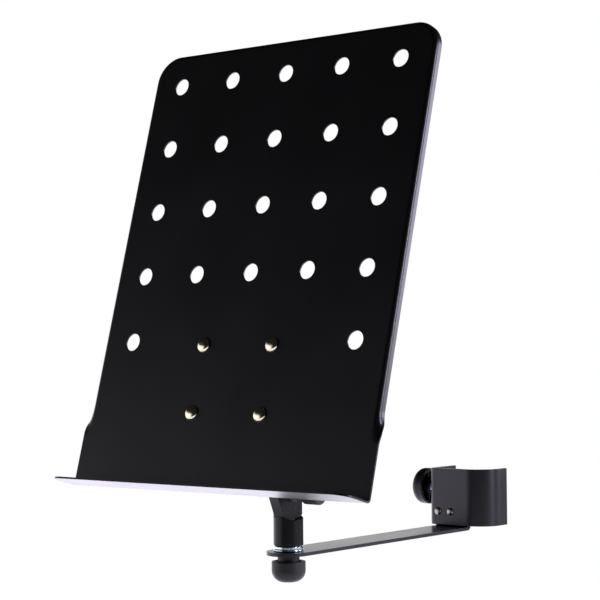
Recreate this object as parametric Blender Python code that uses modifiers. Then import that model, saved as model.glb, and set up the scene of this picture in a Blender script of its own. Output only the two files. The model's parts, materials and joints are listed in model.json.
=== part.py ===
"""Music desk on a clamp-on arm: sheet-metal desk, tilting post, flat arm and pole clamp.

Frame: metres, +Z up. The origin is on the pole's axis at the clamp's mid height.
The arm runs from the clamp towards -Y, and the desk faces -Y.
"""
import math

import bmesh
import bpy
from mathutils import Matrix, Vector

# Clearance kept between touching pieces
GAP = 0.0003

# Pole and clamp bracket
POLE_RADIUS = 0.011
BRACKET_SHEET = 0.003
BRACKET_HEIGHT = 0.0403
BRACKET_CLEARANCE = 0.0013
BEND_RADIUS = 0.018
CORNER_RADIUS = 0.005
BACK_LEG_REACH = 0.014
FREE_LEG_REACH = 0.0095
SCREW_RISE = 0.0055

# Clamp screw, its bush, pad and knob
CLAMP_THREAD = 0.004
BUSH_WALL = 0.0017
BUSH_FLANGE_WIDTH = 0.0025
BUSH_FLANGE_DEPTH = 0.003
BUSH_OVERHANG = 0.002
PAD_RADIUS = 0.007
PAD_DEPTH = 0.0038
PAD_SOCKET = 0.002
PAD_CHAMFER = 0.0008
SCREW_TIP = 0.0024
CLAMP_KNOB_RADIUS = 0.013
CLAMP_KNOB_DEPTH = 0.010
CLAMP_KNOB_STANDOFF = 0.0065
CLAMP_HUB_RADIUS = 0.0065
CLAMP_NECK = 0.002
CLAMP_KNOB_BORE = 0.006

# Both cup knobs
CUP_WALL = 0.0022
CUP_EDGE = 0.0005
CUP_HOLLOW_SHARE = 0.62
CUP_CROWN_SHARE = 0.55

# Arm strip and its tab
ARM_WIDTH = 0.028
ARM_SHEET = 0.0023
ARM_LENGTH = 0.1995
ARM_BEND = 0.001
TAB_RISE = 0.017
TAB_INSET = 0.002
TAB_CLEARANCE = 0.0009
TAB_SIDE_CLEARANCE = 0.0012
TAB_CORNER = 0.004
ARM_DROP = 0.0008

# Rivets that hold the arm
ARM_RIVET_SHANK = 0.0016
ARM_RIVET_HEAD = 0.0027
ARM_RIVET_DOME = 0.0013
ARM_RIVET_TAIL = 0.0005
ARM_RIVET_RISE = 0.0105
ARM_RIVET_MIDDLE = -0.0048
ARM_RIVET_SPACING = 0.0105

# How much wider than the shank a rivet's tail is
TAIL_SPREAD = 1.5

# Post, washers and swivel knob
POST_RADIUS = 0.0095
POST_CHAMFER = 0.0008
WASHER_OUTSET = 0.0001
FLAT_WASHER = 0.0012
SPRING_WASHER = 0.0014
SPRING_WASHER_INSET = 0.0003
SWIVEL_THREAD = 0.004
INSERT_WALL = 0.002
SWIVEL_NECK_RADIUS = 0.007
SWIVEL_NECK = 0.0036
SWIVEL_KNOB_RADIUS = 0.0108
SWIVEL_KNOB_DEPTH = 0.0132
SWIVEL_KNOB_BORE = 0.007

# Tilt joint
PIVOT_HEIGHT = 0.037
SADDLE_FLOOR = 0.0195
SADDLE_FLOOR_THICKNESS = 0.005
EAR_THICKNESS = 0.0076
EAR_HALF_WIDTH = 0.0096
EAR_LEAN = math.radians(23)
EAR_BACK_RADIUS = 0.008
EAR_BACK_RISE = 0.001
EAR_BACK_TURN = math.radians(70)
CHEEK_WASHER = 0.0006
CHEEK_WASHER_RADIUS = 0.0085
TILT_THREAD = 0.003
TILT_INSERT_WALL = 0.0015
TILT_INSERT_INSET = 0.0006
TILT_WASHER = 0.0015
TILT_WASHER_RADIUS = 0.0055
TILT_NECK_RADIUS = 0.004
TILT_NECK = 0.0088
TILT_KNOB_RADIUS = 0.0067
TILT_KNOB_DEPTH = 0.0115
TILT_KNOB_CHAMFER = 0.001
TILT_KNOB_CAP = 0.005

# Desk plate
DESK_LEAN = math.radians(15.75)
DESK_SET_BACK = 0.0715
DESK_SHEET = 0.0012
DESK_WIDTH = 0.2302
WING_OUTSET = 0.0031
DESK_ABOVE_PIVOT = 0.2804
DESK_BELOW_PIVOT = 0.0157
TOP_CORNER_RADIUS = 0.018
FLANGE_BEND = 0.003
FLANGE_DEPTH = 0.006
FLANGE_END = 0.0385
WING_START = 0.0178
SHELF_DEPTH = 0.023
SHELF_BEND = 0.0015
SHELF_CORNER = 0.009

# Holes of the desk
HOLE_RADIUS = 0.0057
HOLE_PITCH = 0.045
ROW_PITCH = 0.04435
HOLE_COLUMNS = 5
FULL_ROWS = 4
TOP_ROW_MARGIN = 0.0234

# Desk rivets and the bracket's base
DESK_RIVET_SPREAD = 0.0552
DESK_RIVET_LOW = 0.0338
DESK_RIVET_STEP = 0.0434
DESK_RIVET_SHANK = 0.0022
DESK_RIVET_HEAD = 0.0048
DESK_RIVET_DOME = 0.0024
DESK_RIVET_TAIL = 0.0012
BASE_MARGIN = 0.008
BASE_THICKNESS = 0.0025
BASE_CORNER = 0.006

# Roundness of circles and bends
FINE_STEPS = 40
COARSE_STEPS = 24
SADDLE_STEPS = 56
BEND_STEPS = 12
CORNER_STEPS = 5
RIM_SHARES = (0.0, 0.12, 0.25, 0.38, 0.5, 0.61, 0.8, 1.0)
SMALLEST_BEND = 0.000001
SHARP_EDGE = math.radians(35)

# Sizes and heights that follow from the others
ARM_OFFSET = ARM_WIDTH / 2 + TAB_INSET
BRACKET_LEFT = ARM_OFFSET + ARM_WIDTH / 2 + TAB_SIDE_CLEARANCE + BRACKET_SHEET
BRACKET_RIGHT = POLE_RADIUS + BRACKET_CLEARANCE + BRACKET_SHEET
BRACKET_FRONT = POLE_RADIUS + TAB_CLEARANCE + ARM_SHEET + GAP + BRACKET_SHEET
BUSH_SLEEVE = CLAMP_THREAD + GAP + BUSH_WALL
BUSH_FLANGE = BUSH_SLEEVE + BUSH_FLANGE_WIDTH
WING_WIDTH = DESK_WIDTH + 2 * WING_OUTSET
WASHER_RADIUS = POST_RADIUS + WASHER_OUTSET
ARM_TOP = -BRACKET_HEIGHT / 2 - ARM_DROP
WASHERS_TOP = FLAT_WASHER + SPRING_WASHER + 2 * GAP
SWIVEL_SCREW_ENGAGED = SADDLE_FLOOR - SADDLE_FLOOR_THICKNESS - WASHERS_TOP - GAP
POST_FOOT = ARM_TOP + WASHERS_TOP + GAP
PIVOT_Z = ARM_TOP + PIVOT_HEIGHT
SADDLE_RADIUS = PIVOT_HEIGHT - SADDLE_FLOOR
CHEEK_FACE = -(EAR_THICKNESS / 2 + CHEEK_WASHER + 2 * GAP)
POST_AXIS = Vector((-ARM_OFFSET, -ARM_LENGTH, 0.0))

BLACK_STEEL = ("black_steel", (0.018, 0.018, 0.02), 0.42, 0.0)
BLACK_CAST = ("black_cast", (0.012, 0.012, 0.013), 0.3, 0.0)
BLACK_PLASTIC = ("black_plastic", (0.02, 0.02, 0.022), 0.5, 0.0)
ZINC = ("zinc", (0.66, 0.72, 0.78), 0.25, 1.0)
NICKEL = ("nickel", (0.72, 0.66, 0.54), 0.22, 1.0)
BRASS = ("brass", (0.72, 0.55, 0.25), 0.3, 1.0)
RUBBER = ("rubber", (0.03, 0.03, 0.03), 0.8, 0.0)

AXIS_TO_X = (0.0, math.pi / 2, 0.0)
AXIS_TO_Y = (-math.pi / 2, 0.0, 0.0)


def clear_scene():
    """Remove every object of the open file."""
    for item in list(bpy.data.objects):
        bpy.data.objects.remove(item, do_unlink=True)


def new_collection(name):
    """Make a collection and link it to the scene."""
    collection = bpy.data.collections.new(name)
    bpy.context.scene.collection.children.link(collection)
    return collection


def finish_material(finish):
    """Return the material of a finish, made once."""
    name, colour, roughness, metallic = finish
    found = bpy.data.materials.get(name)
    if found:
        return found
    made = bpy.data.materials.new(name)
    made.use_nodes = True
    shader = made.node_tree.nodes["Principled BSDF"]
    shader.inputs["Base Color"].default_value = (*colour, 1.0)
    shader.inputs["Roughness"].default_value = roughness
    shader.inputs["Metallic"].default_value = metallic
    made.diffuse_color = (*colour, 1.0)
    return made


def place(item, parent, location, rotation):
    """Put an object at a location and rotation under a parent."""
    item.parent = parent
    item.location = location
    item.rotation_euler = rotation


def add_empty(name, parent=None, location=(0, 0, 0), rotation=(0, 0, 0)):
    """Add an empty that stands for a joint's axis."""
    item = bpy.data.objects.new(name, None)
    PARTS.objects.link(item)
    place(item, parent, location, rotation)
    return item


def add_part(name, bm, finish, parent=None, location=(0, 0, 0), rotation=(0, 0, 0)):
    """Turn a bmesh into a named object of the model."""
    mesh = bpy.data.meshes.new(name)
    bm.to_mesh(mesh)
    bm.free()
    mesh.materials.append(finish_material(finish))
    item = bpy.data.objects.new(name, mesh)
    PARTS.objects.link(item)
    place(item, parent, location, rotation)
    return item


def shade_round(item):
    """Shade an object smooth with sharp corners kept."""
    item.data.shade_smooth()
    item.data.set_sharp_from_angle(angle=SHARP_EDGE)


def turned(name, profile, finish, steps=FINE_STEPS, **placing):
    """Turn a profile of (radius, height) points about the object's own Z axis."""
    bm = bmesh.new()
    closed = profile[0] == profile[-1]
    points = profile[:-1] if closed else profile
    verts = [bm.verts.new((radius, 0.0, height)) for radius, height in points]
    for start, end in zip(verts, verts[1:]):
        bm.edges.new((start, end))
    if closed:
        bm.edges.new((verts[-1], verts[0]))
    item = add_part(name, bm, finish, **placing)
    screw = item.modifiers.new("turn", "SCREW")
    screw.steps = steps
    screw.render_steps = steps
    screw.use_merge_vertices = True
    screw.merge_threshold = 0.00001
    shade_round(item)
    return item


def ring_profile(inner, outer, low, high):
    """Return the closed profile of a plain ring."""
    corners = [(inner, low), (inner, high), (outer, high), (outer, low)]
    return corners + corners[:1]


def arc(centre, radius, start, end, steps):
    """Return points along an arc in a plane, with angles in radians."""
    points = []
    for step in range(steps + 1):
        angle = start + (end - start) * step / steps
        points.append((centre[0] + radius * math.cos(angle), centre[1] + radius * math.sin(angle)))
    return points


def add_cylinder(bm, radius, length, centre, axis, steps=COARSE_STEPS):
    """Add a closed cylinder along the X, Y or Z axis to a bmesh."""
    turns = {"X": Matrix.Rotation(math.pi / 2, 4, "Y"), "Y": Matrix.Rotation(math.pi / 2, 4, "X")}
    matrix = Matrix.Translation(centre) @ turns.get(axis, Matrix.Identity(4))
    bmesh.ops.create_cone(bm, cap_ends=True, segments=steps, radius1=radius, radius2=radius,
                          depth=length, matrix=matrix)


def cut(target, bm, name, parent=None, location=(0, 0, 0), rotation=(0, 0, 0)):
    """Cut a bmesh out of a part with a Boolean."""
    mesh = bpy.data.meshes.new(name)
    bm.to_mesh(mesh)
    bm.free()
    cutter = bpy.data.objects.new(name, mesh)
    CUTTERS.objects.link(cutter)
    place(cutter, parent, location, rotation)
    cutter.hide_render = True
    cutter.display_type = "WIRE"
    boolean = target.modifiers.new(name, "BOOLEAN")
    boolean.operation = "DIFFERENCE"
    boolean.solver = "EXACT"
    boolean.object = cutter


def thicken(item, thickness):
    """Give an open surface its sheet thickness, on the side behind its faces."""
    solid = item.modifiers.new("sheet", "SOLIDIFY")
    solid.thickness = thickness
    solid.offset = -1.0
    solid.use_even_offset = True


def bridge(bm, first, second):
    """Join two rows of vertices with a band of faces."""
    for index in range(len(first) - 1):
        bm.faces.new((first[index], first[index + 1], second[index + 1], second[index]))


def face_along(bm, direction):
    """Turn the faces of an open surface so that the first one looks along a direction."""
    bmesh.ops.recalc_face_normals(bm, faces=bm.faces)
    bm.faces.ensure_lookup_table()
    bm.normal_update()
    if bm.faces[0].normal.dot(Vector(direction)) < 0:
        bmesh.ops.reverse_faces(bm, faces=bm.faces)


def prism(outline, low, high):
    """Return a bmesh of an outline in Y and Z, extruded along X."""
    bm = bmesh.new()
    face = bm.faces.new([bm.verts.new((low, y, z)) for y, z in outline])
    lifted = bmesh.ops.extrude_face_region(bm, geom=[face])
    moved = [item for item in lifted["geom"] if isinstance(item, bmesh.types.BMVert)]
    bmesh.ops.translate(bm, vec=(high - low, 0, 0), verts=moved)
    bmesh.ops.recalc_face_normals(bm, faces=bm.faces)
    return bm


def rivet_profile(shank, head, dome, grip, tail):
    """Return a rivet's profile: domed head on top, shank, and a flat tail below the grip."""
    points = [(0.0, GAP + dome)]
    for x, z in arc((0.0, 0.0), 1.0, math.pi / 2, 0.0, 6)[1:]:
        points.append((head * x, GAP + dome * z))
    wide = shank * TAIL_SPREAD
    points += [(shank, GAP), (shank, -grip - GAP), (wide, -grip - GAP)]
    points += [(wide, -grip - GAP - tail), (0.0, -grip - GAP - tail)]
    return points


def cup_profile(radius, depth, neck_radius, neck, bore, bore_depth):
    """Return a cup knob's profile, open towards +Z, with its hub standing above the rim.

    The rim lies at height 0 and the hub's face at the height of the neck.
    """
    hollow = depth * CUP_HOLLOW_SHARE
    crown = depth * CUP_CROWN_SHARE
    inner = radius - CUP_WALL
    outside = [(inner, 0.0), (radius - CUP_EDGE, 0.0), (radius, -CUP_EDGE)]
    rounding = arc((radius - crown, -(depth - crown)), crown, 0.0, -math.pi / 2, 6)
    inside = [(neck_radius, -hollow), (inner, -hollow)]
    core = [(0.0, neck - bore_depth), (bore, neck - bore_depth), (bore, neck), (neck_radius, neck)]
    return core + inside + outside + rounding + [(0.0, -depth)]


def build_bracket():
    """Bend the clamp's sheet round the pole: back leg, near plate, wide bend and free leg."""
    left, right, front = -BRACKET_LEFT, BRACKET_RIGHT, -BRACKET_FRONT
    corner = (left + CORNER_RADIUS, front + CORNER_RADIUS)
    bend = (right - BEND_RADIUS, front + BEND_RADIUS)
    path = [(left, BACK_LEG_REACH)]
    path += arc(corner, CORNER_RADIUS, math.pi, 1.5 * math.pi, CORNER_STEPS)
    path += arc(bend, BEND_RADIUS, 1.5 * math.pi, 2 * math.pi, BEND_STEPS)
    path += [(right, max(FREE_LEG_REACH, bend[1] + GAP))]
    bm = bmesh.new()
    low = [bm.verts.new((x, y, -BRACKET_HEIGHT / 2)) for x, y in path]
    high = [bm.verts.new((x, y, BRACKET_HEIGHT / 2)) for x, y in path]
    bridge(bm, low, high)
    face_along(bm, (-1, 0, 0))
    bracket = add_part("clamp_bracket", bm, BLACK_STEEL)
    thicken(bracket, BRACKET_SHEET)
    holes = bmesh.new()
    for x in arm_rivet_places():
        centre = (x, -BRACKET_FRONT, ARM_TOP + ARM_RIVET_RISE)
        add_cylinder(holes, ARM_RIVET_SHANK + GAP, 4 * BRACKET_SHEET, centre, "Y")
    centre = (-BRACKET_LEFT, 0, SCREW_RISE)
    add_cylinder(holes, BUSH_SLEEVE + GAP, 4 * BRACKET_SHEET, centre, "X")
    cut(bracket, holes, "bracket_holes")


def arm_rivet_places():
    """Return the X of the two rivets that hold the arm."""
    middle = -ARM_OFFSET + ARM_RIVET_MIDDLE
    return [middle - ARM_RIVET_SPACING / 2, middle + ARM_RIVET_SPACING / 2]


def build_arm():
    """Make the flat arm: round end under the post, and a tab bent up inside the clamp."""
    half = ARM_WIDTH / 2
    tab_face = -BRACKET_FRONT + BRACKET_SHEET + GAP
    bend = (tab_face - ARM_BEND, ARM_TOP + ARM_BEND)
    bm = bmesh.new()
    round_end = arc((0.0, -ARM_LENGTH), half, 0.0, -math.pi, 16)
    flat = [bm.verts.new((x - ARM_OFFSET, y, ARM_TOP)) for x, y in round_end]
    rows = [(half, y, z) for y, z in arc(bend, ARM_BEND, -math.pi / 2, 0.0, 4)]
    top = ARM_TOP + TAB_RISE
    for x, z in arc((half - TAB_CORNER, top - TAB_CORNER), TAB_CORNER, 0.0, math.pi / 2, 5):
        rows.append((x, tab_face, z))
    pairs = []
    for reach, y, z in rows:
        pairs.append([bm.verts.new((side * reach - ARM_OFFSET, y, z)) for side in (1, -1)])
    bm.faces.new(flat + [pairs[0][1], pairs[0][0]])
    for first, second in zip(pairs, pairs[1:]):
        bridge(bm, first, second)
    face_along(bm, (0, 0, 1))
    arm = add_part("arm_strip", bm, BLACK_STEEL)
    thicken(arm, ARM_SHEET)
    holes = bmesh.new()
    add_cylinder(holes, SWIVEL_THREAD + GAP, 4 * ARM_SHEET, (*POST_AXIS.xy, ARM_TOP), "Z")
    for x in arm_rivet_places():
        centre = (x, tab_face, ARM_TOP + ARM_RIVET_RISE)
        add_cylinder(holes, ARM_RIVET_SHANK + GAP, 4 * ARM_SHEET, centre, "Y")
    cut(arm, holes, "arm_holes")


def build_arm_rivets():
    """Rivet the arm's tab to the clamp's near plate."""
    grip = BRACKET_SHEET + ARM_SHEET + GAP
    profile = rivet_profile(ARM_RIVET_SHANK, ARM_RIVET_HEAD, ARM_RIVET_DOME, grip, ARM_RIVET_TAIL)
    for number, x in enumerate(arm_rivet_places(), start=1):
        place_at = (x, -BRACKET_FRONT, ARM_TOP + ARM_RIVET_RISE)
        turned(f"arm_rivet_{number}", profile, NICKEL, COARSE_STEPS, location=place_at,
               rotation=(math.pi / 2, 0, 0))


def build_clamp_screw():
    """Make the clamping screw with its bush, pad and cup knob, along X at the pole."""
    seat = -BRACKET_LEFT - GAP
    sleeve_end = -BRACKET_LEFT + BRACKET_SHEET + BUSH_OVERHANG
    flange_end = seat - BUSH_FLANGE_DEPTH
    bore = CLAMP_THREAD + GAP
    bush = [(bore, flange_end), (bore, sleeve_end), (BUSH_SLEEVE, sleeve_end), (BUSH_SLEEVE, seat),
            (BUSH_FLANGE, seat), (BUSH_FLANGE, flange_end), (bore, flange_end)]
    turned("clamp_bush", bush, ZINC, location=(0, 0, SCREW_RISE), rotation=AXIS_TO_X)
    axis = add_empty("clamp_screw_axis", location=(0, 0, SCREW_RISE), rotation=AXIS_TO_X)
    pad_face = -POLE_RADIUS - GAP
    pad_back = pad_face - PAD_DEPTH
    socket = pad_back + PAD_SOCKET
    pad = [(0.0, pad_face), (PAD_RADIUS - PAD_CHAMFER, pad_face),
           (PAD_RADIUS, pad_face - PAD_CHAMFER),
           (PAD_RADIUS, pad_back), (SCREW_TIP + GAP, pad_back), (SCREW_TIP + GAP, socket),
           (0.0, socket)]
    turned("clamp_pad", pad, RUBBER, parent=axis)
    rim = flange_end - CLAMP_KNOB_STANDOFF
    screw_end = rim + CLAMP_NECK - CLAMP_KNOB_BORE + GAP
    shoulder = pad_back - GAP
    screw = [(0.0, socket - GAP), (SCREW_TIP, socket - GAP), (SCREW_TIP, shoulder),
             (CLAMP_THREAD, shoulder), (CLAMP_THREAD, screw_end), (0.0, screw_end)]
    turned("clamp_screw", screw, ZINC, COARSE_STEPS, parent=axis)
    knob = cup_profile(CLAMP_KNOB_RADIUS, CLAMP_KNOB_DEPTH, CLAMP_HUB_RADIUS, CLAMP_NECK,
                       bore, CLAMP_KNOB_BORE)
    turned("clamp_knob", knob, BLACK_PLASTIC, parent=axis, location=(0, 0, rim))


def build_post():
    """Turn the post, bore it for its inserts and cut its top away for the desk's ear."""
    top = PIVOT_Z + POST_RADIUS
    profile = [(0.0, top), (POST_RADIUS, top), (POST_RADIUS, POST_FOOT + POST_CHAMFER),
               (POST_RADIUS - POST_CHAMFER, POST_FOOT), (0.0, POST_FOOT)]
    axis = add_empty("swivel_axis", location=POST_AXIS)
    post = turned("post", profile, BLACK_CAST, parent=axis)
    reach = 3 * POST_RADIUS
    saddle = bmesh.new()
    add_cylinder(saddle, SADDLE_RADIUS, reach, (CHEEK_FACE + reach / 2, 0, PIVOT_Z), "X",
                 SADDLE_STEPS)
    cut(post, saddle, "post_saddle", parent=axis)
    crown = arc((0.0, PIVOT_Z), POST_RADIUS, 0.0, math.pi, BEND_STEPS)
    above = [(-reach, PIVOT_Z), (-reach, PIVOT_Z + reach), (reach, PIVOT_Z + reach), (reach, PIVOT_Z)]
    cut(post, prism(crown + above, -reach, reach), "post_crown", parent=axis)
    bores = bmesh.new()
    depth = SWIVEL_SCREW_ENGAGED + GAP
    centre = (0, 0, POST_FOOT + depth / 2 - GAP / 2)
    add_cylinder(bores, SWIVEL_THREAD + INSERT_WALL + 2 * GAP, depth + GAP, centre, "Z")
    cut(post, bores, "post_bore", parent=axis)
    eye = bmesh.new()
    add_cylinder(eye, TILT_THREAD + TILT_INSERT_WALL + 2 * GAP, 4 * POST_RADIUS, (0, 0, PIVOT_Z), "X")
    cut(post, eye, "post_eye", parent=axis)
    return axis


def build_swivel_stack(axis):
    """Make the washers, threaded insert, screw and cup knob under and in the post."""
    bore = SWIVEL_THREAD + GAP
    low = ARM_TOP + GAP
    high = low + FLAT_WASHER
    turned("flat_washer", ring_profile(bore, WASHER_RADIUS, low, high), ZINC, location=POST_AXIS)
    low = high + GAP
    ring = ring_profile(bore, WASHER_RADIUS - SPRING_WASHER_INSET, low, low + SPRING_WASHER)
    turned("spring_washer", ring, ZINC, location=POST_AXIS)
    insert_top = POST_FOOT + SWIVEL_SCREW_ENGAGED - GAP
    ring = ring_profile(bore, bore + INSERT_WALL, POST_FOOT + GAP, insert_top)
    turned("post_insert", ring, BRASS, parent=axis)
    turn = add_empty("swivel_knob_axis", location=POST_AXIS)
    hub_face = ARM_TOP - ARM_SHEET - GAP
    rim = hub_face - SWIVEL_NECK
    screw_low = hub_face - SWIVEL_KNOB_BORE + GAP
    screw = [(0.0, insert_top), (SWIVEL_THREAD, insert_top), (SWIVEL_THREAD, screw_low),
             (0.0, screw_low)]
    turned("swivel_screw", screw, ZINC, COARSE_STEPS, parent=turn)
    knob = cup_profile(SWIVEL_KNOB_RADIUS, SWIVEL_KNOB_DEPTH, SWIVEL_NECK_RADIUS, SWIVEL_NECK,
                       bore, SWIVEL_KNOB_BORE)
    turned("swivel_knob", knob, BLACK_PLASTIC, parent=turn, location=(0, 0, rim))


def build_tilt_screw(axis):
    """Make the tilt screw with its insert, washers and knob, along X through the pivot."""
    pivot = add_empty("tilt_screw_axis", parent=axis, location=(0, 0, PIVOT_Z), rotation=AXIS_TO_X)
    bore = TILT_THREAD + GAP
    insert_low = -POST_RADIUS + TILT_INSERT_INSET
    insert = ring_profile(bore, bore + TILT_INSERT_WALL, insert_low, CHEEK_FACE)
    turned("tilt_insert", insert, BRASS, COARSE_STEPS, parent=pivot)
    half = EAR_THICKNESS / 2
    ring = ring_profile(bore, CHEEK_WASHER_RADIUS, -half - GAP - CHEEK_WASHER, -half - GAP)
    turned("friction_washer", ring, RUBBER, parent=pivot)
    washer_low = half + GAP
    washer_high = washer_low + TILT_WASHER
    ring = ring_profile(bore, TILT_WASHER_RADIUS, washer_low, washer_high)
    turned("tilt_washer", ring, ZINC, COARSE_STEPS, parent=pivot)
    neck_low = washer_high + GAP
    head = neck_low + TILT_NECK
    end = head + TILT_KNOB_DEPTH
    bore_end = end - TILT_KNOB_CAP
    radius = TILT_KNOB_RADIUS
    narrow = radius - TILT_KNOB_CHAMFER
    knob = [(0.0, end), (narrow, end), (radius, end - TILT_KNOB_CHAMFER),
            (radius, head + TILT_KNOB_CHAMFER), (narrow, head), (TILT_NECK_RADIUS, head),
            (TILT_NECK_RADIUS, neck_low), (bore, neck_low), (bore, bore_end), (0.0, bore_end)]
    turned("tilt_knob", knob, BLACK_PLASTIC, parent=pivot)
    tip = bore_end - GAP
    screw = [(0.0, tip), (TILT_THREAD, tip), (TILT_THREAD, insert_low), (0.0, insert_low)]
    turned("tilt_screw", screw, ZINC, COARSE_STEPS, parent=pivot)


def to_plate(y, z):
    """Turn an upright offset from the pivot into the leaning plate's own Y and Z."""
    cosine, sine = math.cos(DESK_LEAN), math.sin(DESK_LEAN)
    return (y * cosine - z * sine, y * sine + z * cosine)


def base_span():
    """Return the lower and upper ends of the bracket's base, along the plate."""
    low = DESK_RIVET_LOW - BASE_MARGIN
    return low, low + DESK_RIVET_STEP + 2 * BASE_MARGIN


def build_tilt_bracket(tilt):
    """Make the cast bracket: a riveted base on the desk's back and an ear down to the post."""
    plate_back = -DESK_SET_BACK + DESK_SHEET + GAP
    base_low, base_high = base_span()
    half_base = DESK_RIVET_SPREAD / 2 + BASE_MARGIN
    end_radius = SADDLE_RADIUS - GAP
    spread = math.asin(EAR_HALF_WIDTH / end_radius)
    down = -math.pi / 2
    ear = [to_plate(y, z) for y, z in arc((0, 0), end_radius, down - spread, down + spread, 10)]
    rise = end_radius * math.cos(spread)
    centre = (EAR_HALF_WIDTH - EAR_BACK_RADIUS, EAR_BACK_RISE)
    back_corner = arc(centre, EAR_BACK_RADIUS, 0.0, EAR_BACK_TURN, CORNER_STEPS)
    back_edge = [to_plate(y, z) for y, z in back_corner]
    front_edge = [to_plate(-EAR_HALF_WIDTH - rise * math.tan(EAR_LEAN), 0.0)]
    inside = plate_back + BASE_THICKNESS / 2
    fixed_end = [(inside, base_high - BASE_MARGIN / 2), (inside, base_low + BASE_MARGIN / 2)]
    web = prism(ear + back_edge + fixed_end + front_edge, -EAR_THICKNESS / 2, EAR_THICKNESS / 2)
    bracket = add_part("tilt_bracket", web, BLACK_CAST, parent=tilt)
    base = bmesh.new()
    bmesh.ops.create_cube(base, size=1.0)
    scale = (2 * half_base, BASE_THICKNESS, base_high - base_low)
    bmesh.ops.scale(base, vec=scale, verts=base.verts)
    middle = (0, plate_back + BASE_THICKNESS / 2, (base_low + base_high) / 2)
    bmesh.ops.translate(base, vec=middle, verts=base.verts)
    corners = [edge for edge in base.edges
               if abs(edge.verts[0].co.y - edge.verts[1].co.y) > BASE_THICKNESS / 2]
    bmesh.ops.bevel(base, geom=corners, offset=BASE_CORNER, segments=CORNER_STEPS, profile=0.5,
                    affect="EDGES")
    join(bracket, base, "bracket_base", tilt)
    holes = bmesh.new()
    add_cylinder(holes, TILT_THREAD + GAP, 4 * EAR_THICKNESS, (0, 0, 0), "X")
    for x, z in desk_rivet_places():
        add_cylinder(holes, DESK_RIVET_SHANK + GAP, 6 * BASE_THICKNESS, (x, plate_back, z), "Y")
    cut(bracket, holes, "tilt_bracket_holes", parent=tilt)


def join(target, bm, name, parent):
    """Join a bmesh to a part with a Boolean union."""
    cut(target, bm, name, parent=parent)
    target.modifiers[name].operation = "UNION"


def desk_rivet_places():
    """Return the X and Z of the four desk rivets on the plate."""
    places = []
    for z in (DESK_RIVET_LOW + DESK_RIVET_STEP, DESK_RIVET_LOW):
        for side in (-1, 1):
            places.append((side * DESK_RIVET_SPREAD / 2, z))
    return places


def hole_places():
    """Return the X and Z of the desk's round holes: full rows, then the two outer ones."""
    top = DESK_ABOVE_PIVOT - TOP_ROW_MARGIN
    middle = (HOLE_COLUMNS - 1) / 2
    places = []
    for row in range(FULL_ROWS + 1):
        columns = range(HOLE_COLUMNS) if row < FULL_ROWS else (0, HOLE_COLUMNS - 1)
        for column in columns:
            places.append(((column - middle) * HOLE_PITCH, top - row * ROW_PITCH))
    return places


def smooth_step(value):
    """Return an S-shaped blend from 0 to 1."""
    value = min(max(value, 0.0), 1.0)
    return value * value * (3 - 2 * value)


def desk_stations():
    """Return the right half's rim as (x, z, outward x, outward z, bend angle, reach) rows."""
    half = DESK_WIDTH / 2 - FLANGE_BEND
    bottom = -DESK_BELOW_PIVOT + DESK_SHEET + SHELF_BEND
    top = DESK_ABOVE_PIVOT - FLANGE_BEND
    wing = WING_WIDTH / 2 - half
    rim = math.pi / 2 * FLANGE_BEND + FLANGE_DEPTH - FLANGE_BEND
    rows = [(half, bottom, 1.0, 0.0, 0.0, wing)]
    steps = 10
    for step in range(steps + 1):
        share = step / steps
        z = WING_START + (FLANGE_END - WING_START) * share
        bend = smooth_step(share)
        rows.append((half, z, 1.0, 0.0, bend * math.pi / 2, wing + (rim - wing) * bend))
    corner = TOP_CORNER_RADIUS - FLANGE_BEND
    centre = (half - corner, top - corner)
    for x, z in arc(centre, corner, 0.0, math.pi / 2, 8):
        outward = ((x - centre[0]) / corner, (z - centre[1]) / corner)
        rows.append((x, z, *outward, math.pi / 2, rim))
    return rows


def rim_point(station, share):
    """Return a point of the bent rim, at a share of its reach from the bend line."""
    x, z, out_x, out_z, angle, reach = station
    along = reach * share
    bent = math.pi / 2 * FLANGE_BEND
    if angle < SMALLEST_BEND:
        out, back = along, 0.0
    else:
        radius = bent / angle
        turned_by = min(along, bent) / radius
        out = radius * math.sin(turned_by)
        back = radius * (1 - math.cos(turned_by))
        straight = max(along - bent, 0.0)
        out += straight * math.cos(turned_by)
        back += straight * math.sin(turned_by)
    return (x + out_x * out, back - DESK_SET_BACK, z + out_z * out)


def shelf_rows(bottom):
    """Return the shelf's rows as (share of the half width lost, y, z), from the fold forward."""
    plate = -DESK_SET_BACK
    floor = bottom - SHELF_BEND
    rows = []
    for y, z in arc((plate - SHELF_BEND, bottom), SHELF_BEND, 0.0, -math.pi / 2, 4)[1:]:
        rows.append((0.0, y, z))
    front = plate - SHELF_DEPTH
    for step in range(7):
        angle = math.pi / 2 * step / 6
        lost = SHELF_CORNER * (1 - math.cos(angle))
        rows.append((lost, front + SHELF_CORNER * (1 - math.sin(angle)), floor))
    return rows


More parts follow.
